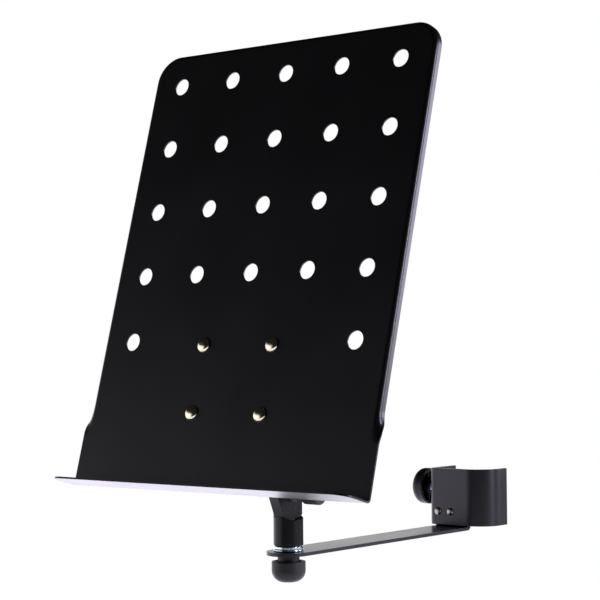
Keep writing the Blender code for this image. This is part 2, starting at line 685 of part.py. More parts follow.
def build_desk_plate(tilt):
    """Fold the desk from one sheet: face, bent rim on three sides, wings and shelf."""
    bm = bmesh.new()
    right = desk_stations()
    left = [(-x, z, -out_x, out_z, angle, reach) for x, z, out_x, out_z, angle, reach in right]
    stations = right + left[::-1]
    rings = []
    for share in RIM_SHARES:
        rings.append([bm.verts.new(rim_point(station, share)) for station in stations])
    bm.faces.new(rings[0])
    for inner, outer in zip(rings, rings[1:]):
        bridge(bm, inner, outer)
    bottom_right = [ring[0] for ring in rings]
    bottom_left = [ring[-1] for ring in rings]
    edge = bottom_left[::-1] + bottom_right
    half = WING_WIDTH / 2
    for lost, y, z in shelf_rows(right[0][1]):
        row = [bm.verts.new((vert.co.x * (half - lost) / half, y, z)) for vert in edge]
        bridge(bm, edge, row)
        edge = row
    face_along(bm, (0, -1, 0))
    desk = add_part("desk_plate", bm, BLACK_STEEL, parent=tilt)
    thicken(desk, DESK_SHEET)
    holes = bmesh.new()
    for x, z in hole_places():
        add_cylinder(holes, HOLE_RADIUS, 6 * DESK_SHEET, (x, -DESK_SET_BACK, z), "Y")
    for x, z in desk_rivet_places():
        add_cylinder(holes, DESK_RIVET_SHANK + GAP, 6 * DESK_SHEET, (x, -DESK_SET_BACK, z), "Y", 16)
    cut(desk, holes, "desk_holes", parent=tilt)


def build_desk_rivets(tilt):
    """Rivet the desk to the bracket's base."""
    grip = DESK_SHEET + BASE_THICKNESS + GAP
    profile = rivet_profile(DESK_RIVET_SHANK, DESK_RIVET_HEAD, DESK_RIVET_DOME, grip,
                            DESK_RIVET_TAIL)
    for number, (x, z) in enumerate(desk_rivet_places(), start=1):
        turned(f"desk_rivet_{number}", profile, NICKEL, COARSE_STEPS, parent=tilt,
               location=(x, -DESK_SET_BACK, z), rotation=(math.pi / 2, 0, 0))


def build_music_desk():
    """Build the whole music desk, from the clamp to the desk plate."""
    build_bracket()
    build_arm()
    build_arm_rivets()
    build_clamp_screw()
    swivel = build_post()
    build_swivel_stack(swivel)
    build_tilt_screw(swivel)
    tilt = add_empty("tilt_axis", parent=swivel, location=(0, 0, PIVOT_Z),
                     rotation=(-DESK_LEAN, 0, 0))
    build_tilt_bracket(tilt)
    build_desk_plate(tilt)
    build_desk_rivets(tilt)


clear_scene()
PARTS = new_collection("music_desk")
CUTTERS = new_collection("cutters")
build_music_desk()
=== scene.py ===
"""Finished look of a clamp-on music desk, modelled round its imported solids."""
import json
import logging
import math
from dataclasses import dataclass, field
from enum import Enum
from typing import Optional, Sequence, Union

import bmesh
import bpy
from mathutils import Matrix, Vector


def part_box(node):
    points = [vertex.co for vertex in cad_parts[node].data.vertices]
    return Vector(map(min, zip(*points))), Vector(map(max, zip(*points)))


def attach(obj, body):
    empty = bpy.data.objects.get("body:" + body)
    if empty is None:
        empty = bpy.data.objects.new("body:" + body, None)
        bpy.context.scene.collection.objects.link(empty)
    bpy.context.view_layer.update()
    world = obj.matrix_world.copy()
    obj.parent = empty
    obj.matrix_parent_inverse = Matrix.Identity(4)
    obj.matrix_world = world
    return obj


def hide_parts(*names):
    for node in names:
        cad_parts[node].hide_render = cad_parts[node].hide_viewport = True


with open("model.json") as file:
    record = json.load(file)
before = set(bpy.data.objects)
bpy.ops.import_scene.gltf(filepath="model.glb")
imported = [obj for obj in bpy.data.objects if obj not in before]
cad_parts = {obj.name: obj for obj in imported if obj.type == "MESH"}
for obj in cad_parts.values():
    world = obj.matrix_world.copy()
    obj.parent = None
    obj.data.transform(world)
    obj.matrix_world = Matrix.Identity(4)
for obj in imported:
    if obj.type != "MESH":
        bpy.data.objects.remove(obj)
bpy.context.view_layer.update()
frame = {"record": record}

LOG = logging.getLogger("music_desk")
MERGE = 0.000002  # vertices closer than this are one
DRILL = 0.012  # length of a tool that drills through a sheet
GAP = 0.0003  # clearance left under a rivet's head and tail
GLOSS_TINT = (0.9, 0.88, 1.0)
Point = tuple[float, float]
Mesh = bmesh.types.BMesh
Value = Union[float, tuple, "Sock"]


# Shader maths

class Sock:
    """An output socket whose arithmetic adds Math nodes."""

    def __init__(self, graph: "Graph", socket: bpy.types.NodeSocket) -> None:
        """Wrap an output socket of a graph."""
        self.graph = graph
        self.socket = socket

    def __add__(self, other: Value) -> "Sock":
        """Return the sum."""
        return self.graph.math("ADD", self, other)

    def __radd__(self, other: Value) -> "Sock":
        """Return the sum, number first."""
        return self.graph.math("ADD", other, self)

    def __sub__(self, other: Value) -> "Sock":
        """Return the difference."""
        return self.graph.math("SUBTRACT", self, other)

    def __rsub__(self, other: Value) -> "Sock":
        """Return the difference, number first."""
        return self.graph.math("SUBTRACT", other, self)

    def __mul__(self, other: Value) -> "Sock":
        """Return the product."""
        return self.graph.math("MULTIPLY", self, other)

    def __rmul__(self, other: Value) -> "Sock":
        """Return the product, number first."""
        return self.graph.math("MULTIPLY", other, self)


class Graph:
    """The node tree of a material or of the world."""

    def __init__(self, owner: Union[bpy.types.Material, bpy.types.World]) -> None:
        """Open the nodes of a new material or world, which hold one bare shader.

        Args:
            owner: the material or world.
        """
        owner.use_nodes = True
        self.owner = owner
        self.tree = owner.node_tree
        self.shader = next(node for node in self.tree.nodes if "Output" not in node.bl_idname)

    def node(self, kind: str, settings: Optional[dict] = None, inputs: Optional[dict] = None,
             output: Union[int, str] = 0) -> Sock:
        """Add a node of any kind.

        Args:
            kind: the node's type name.
            settings: properties, which are set first.
            inputs: values or sockets, by input name or number.
            output: the output to return, by name or number.

        Returns:
            The wrapped output socket.
        """
        made = self.tree.nodes.new(kind)
        for key, value in (settings or {}).items():
            setattr(made, key, value)
        for key, value in (inputs or {}).items():
            self.feed(made.inputs[key], value)
        return Sock(self, made.outputs[output])

    def feed(self, socket: bpy.types.NodeSocket, value: Value) -> None:
        """Link or set an input socket.

        Args:
            socket: the input socket.
            value: a wrapped socket, a number or a tuple.
        """
        if isinstance(value, Sock):
            self.tree.links.new(value.socket, socket)
        else:
            socket.default_value = value

    def math(self, operation: str, first: Value, second: Value) -> Sock:
        """Return a Math node's result for two values."""
        return self.node("ShaderNodeMath", {"operation": operation}, {0: first, 1: second})

    def blend(self, factor: Value, low: Value, high: Value) -> Sock:
        """Return a mix of two colours by a factor."""
        return self.node("ShaderNodeMix", {"data_type": "RGBA"}, {0: factor, 6: low, 7: high}, 2)

    def place(self) -> Sock:
        """Return the object coordinates."""
        return self.node("ShaderNodeTexCoord", output="Object")

    def noise(self, where: Value, size: float, detail: float = 2.0) -> Sock:
        """Return noise from 0 to 1 whose features have a size in metres."""
        return self.node("ShaderNodeTexNoise", None,
                         {"Vector": where, "Scale": 1.0 / size, "Detail": detail})

    def stretched(self, where: Value, scale: tuple) -> Sock:
        """Return coordinates scaled by a different factor along each axis."""
        return self.node("ShaderNodeMapping", None, {"Vector": where, "Scale": scale})

    def remap(self, value: Value, low: float, high: float, shape: str = "LINEAR") -> Sock:
        """Return a ramp from 0 at one input value to 1 at another."""
        return self.node("ShaderNodeMapRange", {"interpolation_type": shape},
                         {"Value": value, "From Min": low, "From Max": high})

    def relief(self, height: Value, depth: float, strength: float) -> None:
        """Send a height to the shader's normal.

        Args:
            height: the height, from 0 to 1.
            depth: the relief's depth in metres.
            strength: the relief's strength.
        """
        bump = self.node("ShaderNodeBump", None,
                         {"Height": height, "Distance": depth, "Strength": strength})
        self.set(normal=bump)

    def set(self, **values: Value) -> None:
        """Set or link the shader's own sockets.

        Args:
            values: values or sockets, by input name with underscores for spaces.
        """
        for key, value in values.items():
            socket = key.replace("_", " ").title().replace("Ior", "IOR")
            self.feed(self.shader.inputs[socket], value)


# Finishes

def rgba(colour: Sequence[float], gain: float = 1.0) -> tuple:
    """Return a colour with its alpha, made lighter or darker by a gain."""
    return (*(channel * gain for channel in colour), 1.0)


@dataclass(frozen=True)
class Surface:
    """What every finish has.

    Args:
        name: the material's name.
        slot: the record's material slot; not used.
        colour: the surface's colour.
        roughness: its roughness.
    """

    name: str
    slot: str
    colour: tuple
    roughness: float

    def material(self) -> bpy.types.Material:
        """Make the material.

        Returns:
            The finished material.
        """
        graph = Graph(bpy.data.materials.new(self.name))
        self.dress(graph, graph.place())
        return graph.owner


@dataclass(frozen=True)
class PowderCoat(Surface):
    """Satin black powder coat with the fine orange peel of a sprayed and baked skin.

    Args:
        peel: the size of the orange peel's cells.
        peel_depth: the peel's relief.
        peel_gloss: how far the peel changes the roughness.
        cloud: the size of the coat's slow clouds.
        cloud_gloss: how far the clouds change the roughness.
        speck: the size of its light specks.
        sheen_tint: the tint of its highlights.
        specular: the strength of its highlights.
    """

    name: str = "powder_coat"
    slot: str = "powder_coat"
    colour: tuple = (0.0024, 0.0022, 0.0025)
    roughness: float = 0.30
    peel: float = 0.0011
    peel_depth: float = 0.000035
    peel_gloss: float = 0.05
    cloud: float = 0.06
    cloud_gloss: float = 0.08
    speck: float = 0.0006
    sheen_tint: tuple = (0.87, 0.83, 1.0)
    specular: float = 0.5

    def dress(self, graph: Graph, where: Sock) -> None:
        """Dress a bare shader.

        Args:
            graph: the material's nodes.
            where: the object coordinates.
        """
        peel = graph.noise(where, self.peel, 1.5)
        cloud = graph.noise(where, self.cloud, 3.0)
        speck = graph.remap(graph.noise(where, self.speck, 0.0), 0.70, 0.78)
        tone = graph.blend(cloud, rgba(self.colour, 0.85), rgba(self.colour, 1.2))
        smoothest = self.roughness - (self.cloud_gloss + self.peel_gloss) / 2
        graph.set(base_color=graph.blend(speck * 0.5, tone, rgba(self.colour, 3.0)),
                  roughness=cloud * self.cloud_gloss + peel * self.peel_gloss + smoothest,
                  specular_tint=rgba(self.sheen_tint), specular_ior_level=self.specular)
        graph.relief(peel * 0.8 + graph.noise(where, self.peel * 0.3, 1.0) * 0.2,
                     self.peel_depth, 0.5)


@dataclass(frozen=True)
class CastPaint(Surface):
    """Glossy black paint over a die casting, whose slow waves show in the gloss.

    Args:
        wave: the size of the casting's waves.
        pit: the size of its pits.
        pit_gloss: how far the pits change the roughness.
        depth: the relief's depth.
        specular: the strength of its highlights.
    """

    name: str = "cast_paint"
    slot: str = "cast_black"
    colour: tuple = (0.0028, 0.0028, 0.003)
    roughness: float = 0.27
    wave: float = 0.006
    pit: float = 0.0007
    pit_gloss: float = 0.1
    depth: float = 0.00003
    specular: float = 0.22

    def dress(self, graph: Graph, where: Sock) -> None:
        """Dress a bare shader.

        Args:
            graph: the material's nodes.
            where: the object coordinates.
        """
        wave = graph.noise(where, self.wave, 1.0)
        pit = graph.noise(where, self.pit)
        graph.set(base_color=graph.blend(wave, rgba(self.colour, 0.8), rgba(self.colour, 1.3)),
                  roughness=pit * self.pit_gloss + (self.roughness - self.pit_gloss / 2),
                  specular_tint=rgba(GLOSS_TINT), specular_ior_level=self.specular)
        graph.relief(wave * 0.85 + pit * 0.15, self.depth, 0.3)


@dataclass(frozen=True)
class MouldedPlastic(Surface):
    """Black moulded plastic with a fine spark-eroded grain, shinier where it is handled.

    Args:
        grain: the size of the grain.
        depth: the grain's relief.
        handled: the size of the handled patches.
        specular: the strength of its highlights.
    """

    name: str = "moulded_plastic"
    slot: str = "knob_plastic"
    colour: tuple = (0.008, 0.008, 0.0085)
    roughness: float = 0.42
    grain: float = 0.00035
    depth: float = 0.00002
    handled: float = 0.009
    specular: float = 0.3

    def dress(self, graph: Graph, where: Sock) -> None:
        """Dress a bare shader.

        Args:
            graph: the material's nodes.
            where: the object coordinates.
        """
        grain = graph.noise(where, self.grain)
        handled = graph.remap(graph.noise(where, self.handled), 0.4, 0.7)
        graph.set(base_color=graph.blend(grain, rgba(self.colour, 0.8), rgba(self.colour, 1.3)),
                  roughness=(self.roughness + 0.04) - handled * 0.1 + grain * 0.06,
                  specular_tint=rgba(GLOSS_TINT), specular_ior_level=self.specular)
        graph.relief(grain, self.depth, 0.5)


@dataclass(frozen=True)
class PlatedMetal(Surface):
    """Plated metal with turning marks and a drifting tint.

    Args:
        tint: the colour that the plating drifts to.
        drift: the size of the tint's patches.
        stain: the size of its dull stains.
        marks: how far apart the turning marks lie along Z.
        depth: the marks' relief.
    """

    tint: tuple
    drift: float = 0.004
    stain: float = 0.0014
    marks: float = 0.00025
    depth: float = 0.000012

    def dress(self, graph: Graph, where: Sock) -> None:
        """Dress a bare shader.

        Args:
            graph: the material's nodes.
            where: the object coordinates.
        """
        drift = graph.remap(graph.noise(where, self.drift, 3.0), 0.35, 0.65)
        lines = graph.noise(graph.stretched(where, (0.12, 0.12, 1.0)), self.marks, 1.0)
        stain = graph.remap(graph.noise(where, self.stain, 4.0), 0.58, 0.75)
        graph.set(base_color=graph.blend(drift, rgba(self.colour), rgba(self.tint)),
                  metallic=1.0, roughness=self.roughness + lines * 0.08 + stain * 0.18)
        graph.relief(lines, self.depth, 0.7)


@dataclass(frozen=True)
class MouldedRubber(Surface):
    """Dull black rubber with a soft bloom.

    Args:
        bloom: the size of the bloom's patches.
        grain: the size of the grain.
        depth: the grain's relief.
    """

    name: str = "moulded_rubber"
    slot: str = "pad_rubber"
    colour: tuple = (0.02, 0.02, 0.019)
    roughness: float = 0.7
    bloom: float = 0.0035
    grain: float = 0.0003
    depth: float = 0.00004

    def dress(self, graph: Graph, where: Sock) -> None:
        """Dress a bare shader.

        Args:
            graph: the material's nodes.
            where: the object coordinates.
        """
        bloom = graph.noise(where, self.bloom, 3.0)
        graph.set(base_color=graph.blend(bloom, rgba(self.colour), rgba(self.colour, 1.9)),
                  roughness=bloom * 0.12 + self.roughness)
        graph.relief(graph.noise(where, self.grain), self.depth, 0.6)


class Finish(Enum):
    """The finishes of the desk's pieces."""

    POWDER = PowderCoat()
    CAST = CastPaint()
    PLASTIC = MouldedPlastic()
    ZINC = PlatedMetal("zinc_plate", "zinc_plate", (0.70, 0.78, 0.86), 0.16, (0.60, 0.68, 0.86))
    NICKEL = PlatedMetal("nickel_plate", "rivet_nickel", (0.80, 0.74, 0.62), 0.12,
                         (0.74, 0.66, 0.50))
    BLACKENED = PlatedMetal("blackened_rivet", "rivet_black", (0.42, 0.37, 0.37), 0.26,
                            (0.26, 0.22, 0.22))
    BRASS = PlatedMetal("turned_brass", "insert_brass", (0.78, 0.58, 0.26), 0.24,
                        (0.70, 0.50, 0.22))
    RUBBER = MouldedRubber()


MATERIALS: dict[Finish, bpy.types.Material] = {}


def material_of(finish: Finish) -> bpy.types.Material:
    """Find a finish's material, and make it the first time.

    Args:
        finish: the finish.

    Returns:
        The material that all pieces of that finish share.
    """
    if finish not in MATERIALS:
        MATERIALS[finish] = finish.value.material()
    return MATERIALS[finish]


# Mesh tools

class Way(Enum):
    """The way that a turned body's +Z is laid, by the axis it is turned about."""

    RIGHT = "Y"
    FRONT = "X"
    UP = "Z"

    def turn(self) -> Matrix:
        """Return the turn that lays +Z this way."""
        return Matrix.Rotation(0.0 if self is Way.UP else math.pi / 2, 4, self.value)


class Joining(Enum):
    """How two bodies are combined."""

    CUT = "DIFFERENCE"
    WELD = "UNION"


def arc(centre: Point, radius: float, start: float, end: float, steps: int) -> list[Point]:
    """Return points along an arc.

    Args:
        centre: the arc's centre.
        radius: its radius.
        start: the first angle in degrees.
        end: the last angle in degrees.
        steps: how many steps the arc has.

    Returns:
        The points, ends included.
    """
    points = []
    for step in range(steps + 1):
        angle = math.radians(start + (end - start) * step / steps)
        points.append((centre[0] + radius * math.cos(angle), centre[1] + radius * math.sin(angle)))
    return points


def softened(points: Sequence[Point], radius: float, steps: int = 4) -> list[Point]:
    """Round the corners of an open outline.

    Args:
        points: the outline's points.
        radius: the rounding's size, limited by the runs beside each corner.
        steps: how many steps each rounding has.

    Returns:
        The rounded outline, its ends unchanged.
    """
    rounded = [tuple(points[0])]
    for before, corner, after in zip(points, points[1:], points[2:]):
        here = Vector(corner)
        back, ahead = Vector(before) - here, Vector(after) - here
        reach = min(radius, back.length * 0.45, ahead.length * 0.45)
        start, end = here + back.normalized() * reach, here + ahead.normalized() * reach
        for step in range(steps + 1):
            share = step / steps
            first = start.lerp(here, share)
            rounded.append(tuple(first.lerp(here.lerp(end, share), share)))
    rounded.append(tuple(points[-1]))
    return rounded


def ring_outline(inner: float, outer: float, low: float, high: float) -> list[Point]:
    """Return a plain ring's profile, which ends where it starts."""
    return [(inner, low), (inner, high), (outer, high), (outer, low), (inner, low)]


def only(items: Sequence, kind: type) -> list:
    """Return the vertices, edges or faces of an operator's result."""
    return [item for item in items if isinstance(item, kind)]


def lathe(profile: Sequence[Point], steps: int = 96) -> Mesh:
    """Spin a profile of (radius, height) points about Z into a closed body.

    Args:
        profile: the points; a ring's profile ends where it starts.
        steps: how many steps the turn has.

    Returns:
        The turned body.
    """
    bm = bmesh.new()
    closed = tuple(profile[0]) == tuple(profile[-1])
    points = profile[:-1] if closed else profile
    verts = [bm.verts.new((radius, 0.0, height)) for radius, height in points]
    edges = [bm.edges.new(pair) for pair in zip(verts, verts[1:])]
    if closed:
        edges.append(bm.edges.new((verts[-1], verts[0])))
    bmesh.ops.spin(bm, geom=verts + edges, cent=(0, 0, 0), axis=(0, 0, 1), dvec=(0, 0, 0),
                   angle=2 * math.pi, steps=steps, use_merge=True, use_duplicate=False)
    bmesh.ops.remove_doubles(bm, verts=bm.verts, dist=MERGE)
    bmesh.ops.recalc_face_normals(bm, faces=bm.faces)
    return bm


def cylinder(bm: Mesh, radius: float, length: float, centre: Sequence[float], way: Way,
             steps: int = 32) -> None:
    """Add a closed cylinder.

    Args:
        bm: the bmesh to add to.
        radius: the cylinder's radius.
        length: its length.
        centre: its middle.
        way: the way that it lies.
        steps: how many sides it has.
    """
    bmesh.ops.create_cone(bm, cap_ends=True, segments=steps, radius1=radius, radius2=radius,
                          depth=length, matrix=Matrix.Translation(centre) @ way.turn())


def block(size: Sequence[float], centre: Sequence[float]) -> Mesh:
    """Make a closed block.

    Args:
        size: its three sides.
        centre: its middle.

    Returns:
        The block.
    """
    bm = bmesh.new()
    bmesh.ops.create_cube(bm, size=1.0)
    bmesh.ops.scale(bm, vec=size, verts=bm.verts)
    bmesh.ops.translate(bm, vec=centre, verts=bm.verts)
    return bm


def extruded(outline: Sequence[Point], low: float, high: float) -> Mesh:
    """Extrude an outline in Y and Z along X.

    Args:
        outline: the outline's points.
        low: the lower X.
        high: the upper X.

    Returns:
        The closed body.
    """
    bm = bmesh.new()
    face = bm.faces.new([bm.verts.new((low, y, z)) for y, z in outline])
    grown = bmesh.ops.extrude_face_region(bm, geom=[face])["geom"]
    bmesh.ops.translate(bm, vec=(high - low, 0, 0), verts=only(grown, bmesh.types.BMVert))
    bmesh.ops.recalc_face_normals(bm, faces=bm.faces)
    return bm


class Ribbon:
    """An open strip of sheet that grows edge by edge, straight or round bends."""

    def __init__(self, first: Sequence[float], second: Sequence[float]) -> None:
        """Start the strip from the two ends of its first edge."""
        self.bm = bmesh.new()
        self.edges = [self.bm.edges.new((self.bm.verts.new(first), self.bm.verts.new(second)))]

    def straight(self, run: Sequence[float]) -> "Ribbon":
        """Grow the strip by a straight run.

        Args:
            run: the run's direction and length.

        Returns:
            The strip.
        """
        grown = bmesh.ops.extrude_edge_only(self.bm, edges=self.edges)["geom"]
        bmesh.ops.translate(self.bm, vec=run, verts=only(grown, bmesh.types.BMVert))
        self.edges = only(grown, bmesh.types.BMEdge)
        return self

    def bend(self, centre: Sequence[float], axis: Sequence[float], steps: int) -> "Ribbon":
        """Grow the strip round a square bend.

        Args:
            centre: a point on the bend's axis.
            axis: the direction of the axis.
            steps: how many steps the bend has.

        Returns:
            The strip.
        """
        geom = self.edges + [vert for edge in self.edges for vert in edge.verts]
        last = bmesh.ops.spin(self.bm, geom=geom, cent=centre, axis=axis, dvec=(0, 0, 0),
                              angle=math.pi / 2, steps=steps)["geom_last"]
        self.edges = only(last, bmesh.types.BMEdge)
        return self

    def round_corners(self, corners: Sequence[bmesh.types.BMVert], radius: float,
                      steps: int) -> None:
        """Round corners of the strip's outline.

        Args:
            corners: the corner vertices.
            radius: the rounding's radius.
            steps: how many steps each rounding has.
        """
        bmesh.ops.bevel(self.bm, geom=list(corners), offset=radius, offset_type="OFFSET",
                        segments=steps, profile=0.5, affect="VERTICES", material=-1)


def face_towards(bm: Mesh, index: int, direction: Sequence[float]) -> None:
    """Turn an open surface so that one of its faces looks along a direction.

    Args:
        bm: the surface.
        index: the face's number.
        direction: the direction.
    """
    bmesh.ops.remove_doubles(bm, verts=bm.verts, dist=MERGE)
    bmesh.ops.recalc_face_normals(bm, faces=bm.faces)
    bm.faces.ensure_lookup_table()
    bm.normal_update()
    if bm.faces[index].normal.dot(Vector(direction)) < 0:
        bmesh.ops.reverse_faces(bm, faces=bm.faces)


@dataclass
class Piece:
    """A visible piece, built up from a bmesh and finished by modifiers.

    Args:
        name: the piece's name.
        bm: its mesh so far.
        finish: its finish.
        body: the body that it rides on.
        node: the node that it stands for.
        matrix: where the bmesh's own frame lies.
    """

    name: str
    bm: Mesh
    finish: Finish
    body: str
    node: str
    matrix: Matrix = field(default_factory=Matrix)
    made: bpy.types.Object = field(init=False)

    def __post_init__(self) -> None:
        """Turn the bmesh into an object of the scene."""
        self.made = self.link(self.name, self.bm)

    @staticmethod
    def link(name: str, bm: Mesh) -> bpy.types.Object:
        """Put a bmesh into the scene.

        Args:
            name: the object's name.
            bm: the bmesh, which is used up.

        Returns:
            The new object.
        """
        mesh = bpy.data.meshes.new(name)
        bm.to_mesh(mesh)
        bm.free()
        made = bpy.data.objects.new(name, mesh)
        bpy.context.scene.collection.objects.link(made)
        return made

    def modify(self, kind: str, **settings: object) -> "Piece":
        """Add a modifier and apply it.

        Args:
            kind: the modifier's type.
            settings: its settings.

        Returns:
            The piece.
        """
        modifier = self.made.modifiers.new(kind.lower(), kind)
        for key, value in settings.items():
            setattr(modifier, key, value)
        graph = bpy.context.evaluated_depsgraph_get()
        mesh = bpy.data.meshes.new_from_object(self.made.evaluated_get(graph))
        self.made.modifiers.clear()
        self.made.data = mesh
        return self

    def thicken(self, thickness: float) -> "Piece":
        """Give an open surface its sheet thickness behind its faces, and return the piece."""
        return self.modify("SOLIDIFY", thickness=thickness, offset=-1.0, use_even_offset=True)

    def combine(self, joining: Joining, *tools: Mesh) -> "Piece":
        """Cut or weld bodies.

        Args:
            joining: whether the tools are cut away or welded on.
            tools: the closed bodies, which are used up.

        Returns:
            The piece.
        """
        for tool in tools:
            other = self.link(self.name + "_tool", tool)
            self.modify("BOOLEAN", operation=joining.value, solver="EXACT", object=other)
            bpy.data.objects.remove(other)
        return self

    def ease(self, width: float, steps: int, angle: float) -> "Piece":
        """Round the edges that are sharper than an angle in degrees, and return the piece."""
        return self.modify("BEVEL", width=width, segments=steps, limit_method="ANGLE",
                           angle_limit=math.radians(angle), use_clamp_overlap=True)

    def done(self, sharp: float = 40.0) -> None:
        """Place, smooth, dress and attach the piece.

        Args:
            sharp: the angle past which an edge stays sharp, in degrees.
        """
        mesh = self.made.data
        mesh.transform(self.matrix)
        mesh.shade_smooth()
        mesh.set_sharp_from_angle(angle=math.radians(sharp))
        self.modify("WEIGHTED_NORMAL", keep_sharp=True)
        self.made.data.materials.clear()
        self.made.data.materials.append(material_of(self.finish))
        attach(self.made, self.body)
        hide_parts(self.node)
        LOG.info("%s: %d faces", self.name, len(self.made.data.polygons))


# Places from the frame

def joint_place(name: str) -> Vector:
    """Find a point on a joint's axis.

    Args:
        name: the joint's name.

    Returns:
        The point.
    """
    joints = {joint["name"]: joint for joint in frame["record"]["behaviour"]["joints"]}
    return Vector(joints[name]["pos_m"])


def middle(node: str) -> Vector:
    """Return the middle of a node's box."""
    low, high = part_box(node)
    return (Vector(low) + Vector(high)) / 2


def upright(node: str) -> Matrix:
    """Return a turned piece's frame, upright on a node's axis."""
    return Matrix.Translation((middle(node).x, middle(node).y, 0.0))


def laid(y: float, z: float) -> Matrix:
    """Return a turned piece's frame, laid along +X at a Y and Z."""
    return Matrix.Translation((0.0, y, z)) @ Way.RIGHT.turn()


# Repeated parts

@dataclass
class DomeRivet:
    """A domed rivet, its head's seat at height 0 and its tail past the grip.

    Args:
        radius: the head's radius.
        dome: the dome's height.
        crown: the first and last angle of the dome's arc, and its steps.
        seat: the radius of the head's flat underside.
        shank: the shank's radius.
        grip: the thickness that it joins.
        tail: the tail's points, as radius and distance past the grip.
        steps: how many steps its turn has.
    """

    radius: float
    dome: float
    crown: tuple
    seat: float
    shank: float
    grip: float
    tail: Sequence[Point]
    steps: int

    def profile(self) -> list[Point]:
        """Draw the rivet's turned profile.

        Returns:
            Its points, from the dome's top to the tail's end.
        """
        first, last, steps = self.crown
        head = [(0.0, GAP + self.dome)]
        for x, z in arc((0.0, 0.0), 1.0, first, last, steps):
            head.append((self.radius * x, GAP + self.dome * z))
        shank = [(self.seat, GAP), (self.shank, GAP), (self.shank, -self.grip - GAP)]
        return head + shank + [(radius, -self.grip - past) for radius, past in self.tail]

    def build(self, name: str, finish: Finish, body: str, node: str, at: Matrix) -> None:
        """Set the rivet.

        Args:
            name: the piece's name.
            finish: its finish.
            body: the body that it rides on.
            node: the node that it stands for.
            at: where its seat and axis lie, the head towards the front.
        """
        turned = lathe(self.profile(), self.steps)
        Piece(name, turned, finish, body, node, at @ Way.FRONT.turn()).done(50)


@dataclass
class CupKnob:
    """A moulded cup knob, open towards +Z, with a hub and ribs inside.

    Args:
        radius: its radius.
        depth: its height from the rim to the crown.
        hub: the hub's radius.
        neck: how far the hub stands out of the rim.
        bore_depth: the depth of the hub's bore.
        bore: the bore's radius.
        wall: the cup's wall.
        rib: a rib's thickness.
        ribs: how many ribs there are.
        hollow: the hollow's share of the depth.
        crown: the rounding's share of the depth.
        rib_height: the ribs' share of the depth.
    """

    radius: float
    depth: float
    hub: float
    neck: float
    bore_depth: float = 0.006
    bore: float = 0.0043
    wall: float = 0.0022
    rib: float = 0.0011
    ribs: int = 6
    hollow: float = 0.62
    crown: float = 0.55
    rib_height: float = 0.45

    def profile(self) -> list[Point]:
        """Draw the knob's turned profile.

        Returns:
            Its points, from the bore's end to the crown, with the rim at height 0.
        """
        floor, crown = -self.depth * self.hollow, self.depth * self.crown
        bore_end, inside = self.neck - self.bore_depth, self.radius - self.wall
        core = [(0.0, bore_end), (self.bore, bore_end), (self.bore, self.neck),
                (self.hub, self.neck), (self.hub, floor)]
        rim = [(inside, floor), (inside, 0.0), (self.radius, 0.0)]
        side = [(self.radius, crown - self.depth)]
        rounding = arc((self.radius - crown, crown - self.depth), crown, 0, -90, 14)[1:]
        return softened(core + rim + side, 0.0006) + rounding + [(0.0, -self.depth)]

    def build(self, name: str, body: str, node: str, at: Matrix) -> None:
        """Mould the knob.

        Args:
            name: the piece's name.
            body: the body that it rides on.
            node: the node that it stands for.
            at: where its rim and axis lie.
        """
        knob = Piece(name, lathe(self.profile()), Finish.PLASTIC, body, node, at)
        reach = self.radius - self.wall - self.hub + 0.001
        height = self.depth * self.rib_height
        centre = (self.hub + reach / 2 - 0.0005, 0, height / 2 - self.depth * self.hollow - 0.0002)
        for number in range(self.ribs):
            rib = block((reach, self.rib, height), centre)
            turn = Matrix.Rotation(2 * math.pi * number / self.ribs, 4, "Z")
            bmesh.ops.transform(rib, matrix=turn, verts=rib.verts)
            knob.combine(Joining.WELD, rib)
        knob.done(38)


@dataclass
class Screw:
    """A threaded rod, turned between two heights.

    Args:
        radius: its outer radius.
        pitch: the distance between crests.
        steps: how many steps its turn has.
    """

    radius: float
    pitch: float = 0.00125
    steps: int = 48

    def thread(self, low: float, high: float) -> list[Point]:
        """Draw the thread's outside.

        Args:
            low: the lower end.
            high: the upper end.

        Returns:
            Points of radius and height from the upper end down, crests and roots in turn.
        """
        root = self.radius - self.pitch * 0.5
        points = [(root, high)]
        for number in range(int((high - low) / self.pitch)):
            top = high - number * self.pitch
            points += [(self.radius, top - self.pitch * 0.35),
                       (self.radius, top - self.pitch * 0.5), (root, top - self.pitch * 0.9)]
        return points + [(root, low), (0.0, low)]

    def build(self, name: str, body: str, node: str, at: Matrix, low: float, high: float,
              tip: Sequence[Point] = ()) -> None:
        """Turn the screw.

        Args:
            name: the piece's name.
            body: the body that it rides on.
            node: the node that it stands for.
            at: where its axis lies.
            low: the lower end.
            high: the thread's upper end.
            tip: the points of a plain tip past that end.
        """
        outline = (list(tip) or [(0.0, high)]) + self.thread(low, high)
        Piece(name, lathe(outline, self.steps), Finish.ZINC, body, node, at).done(25)


# Sub-assemblies

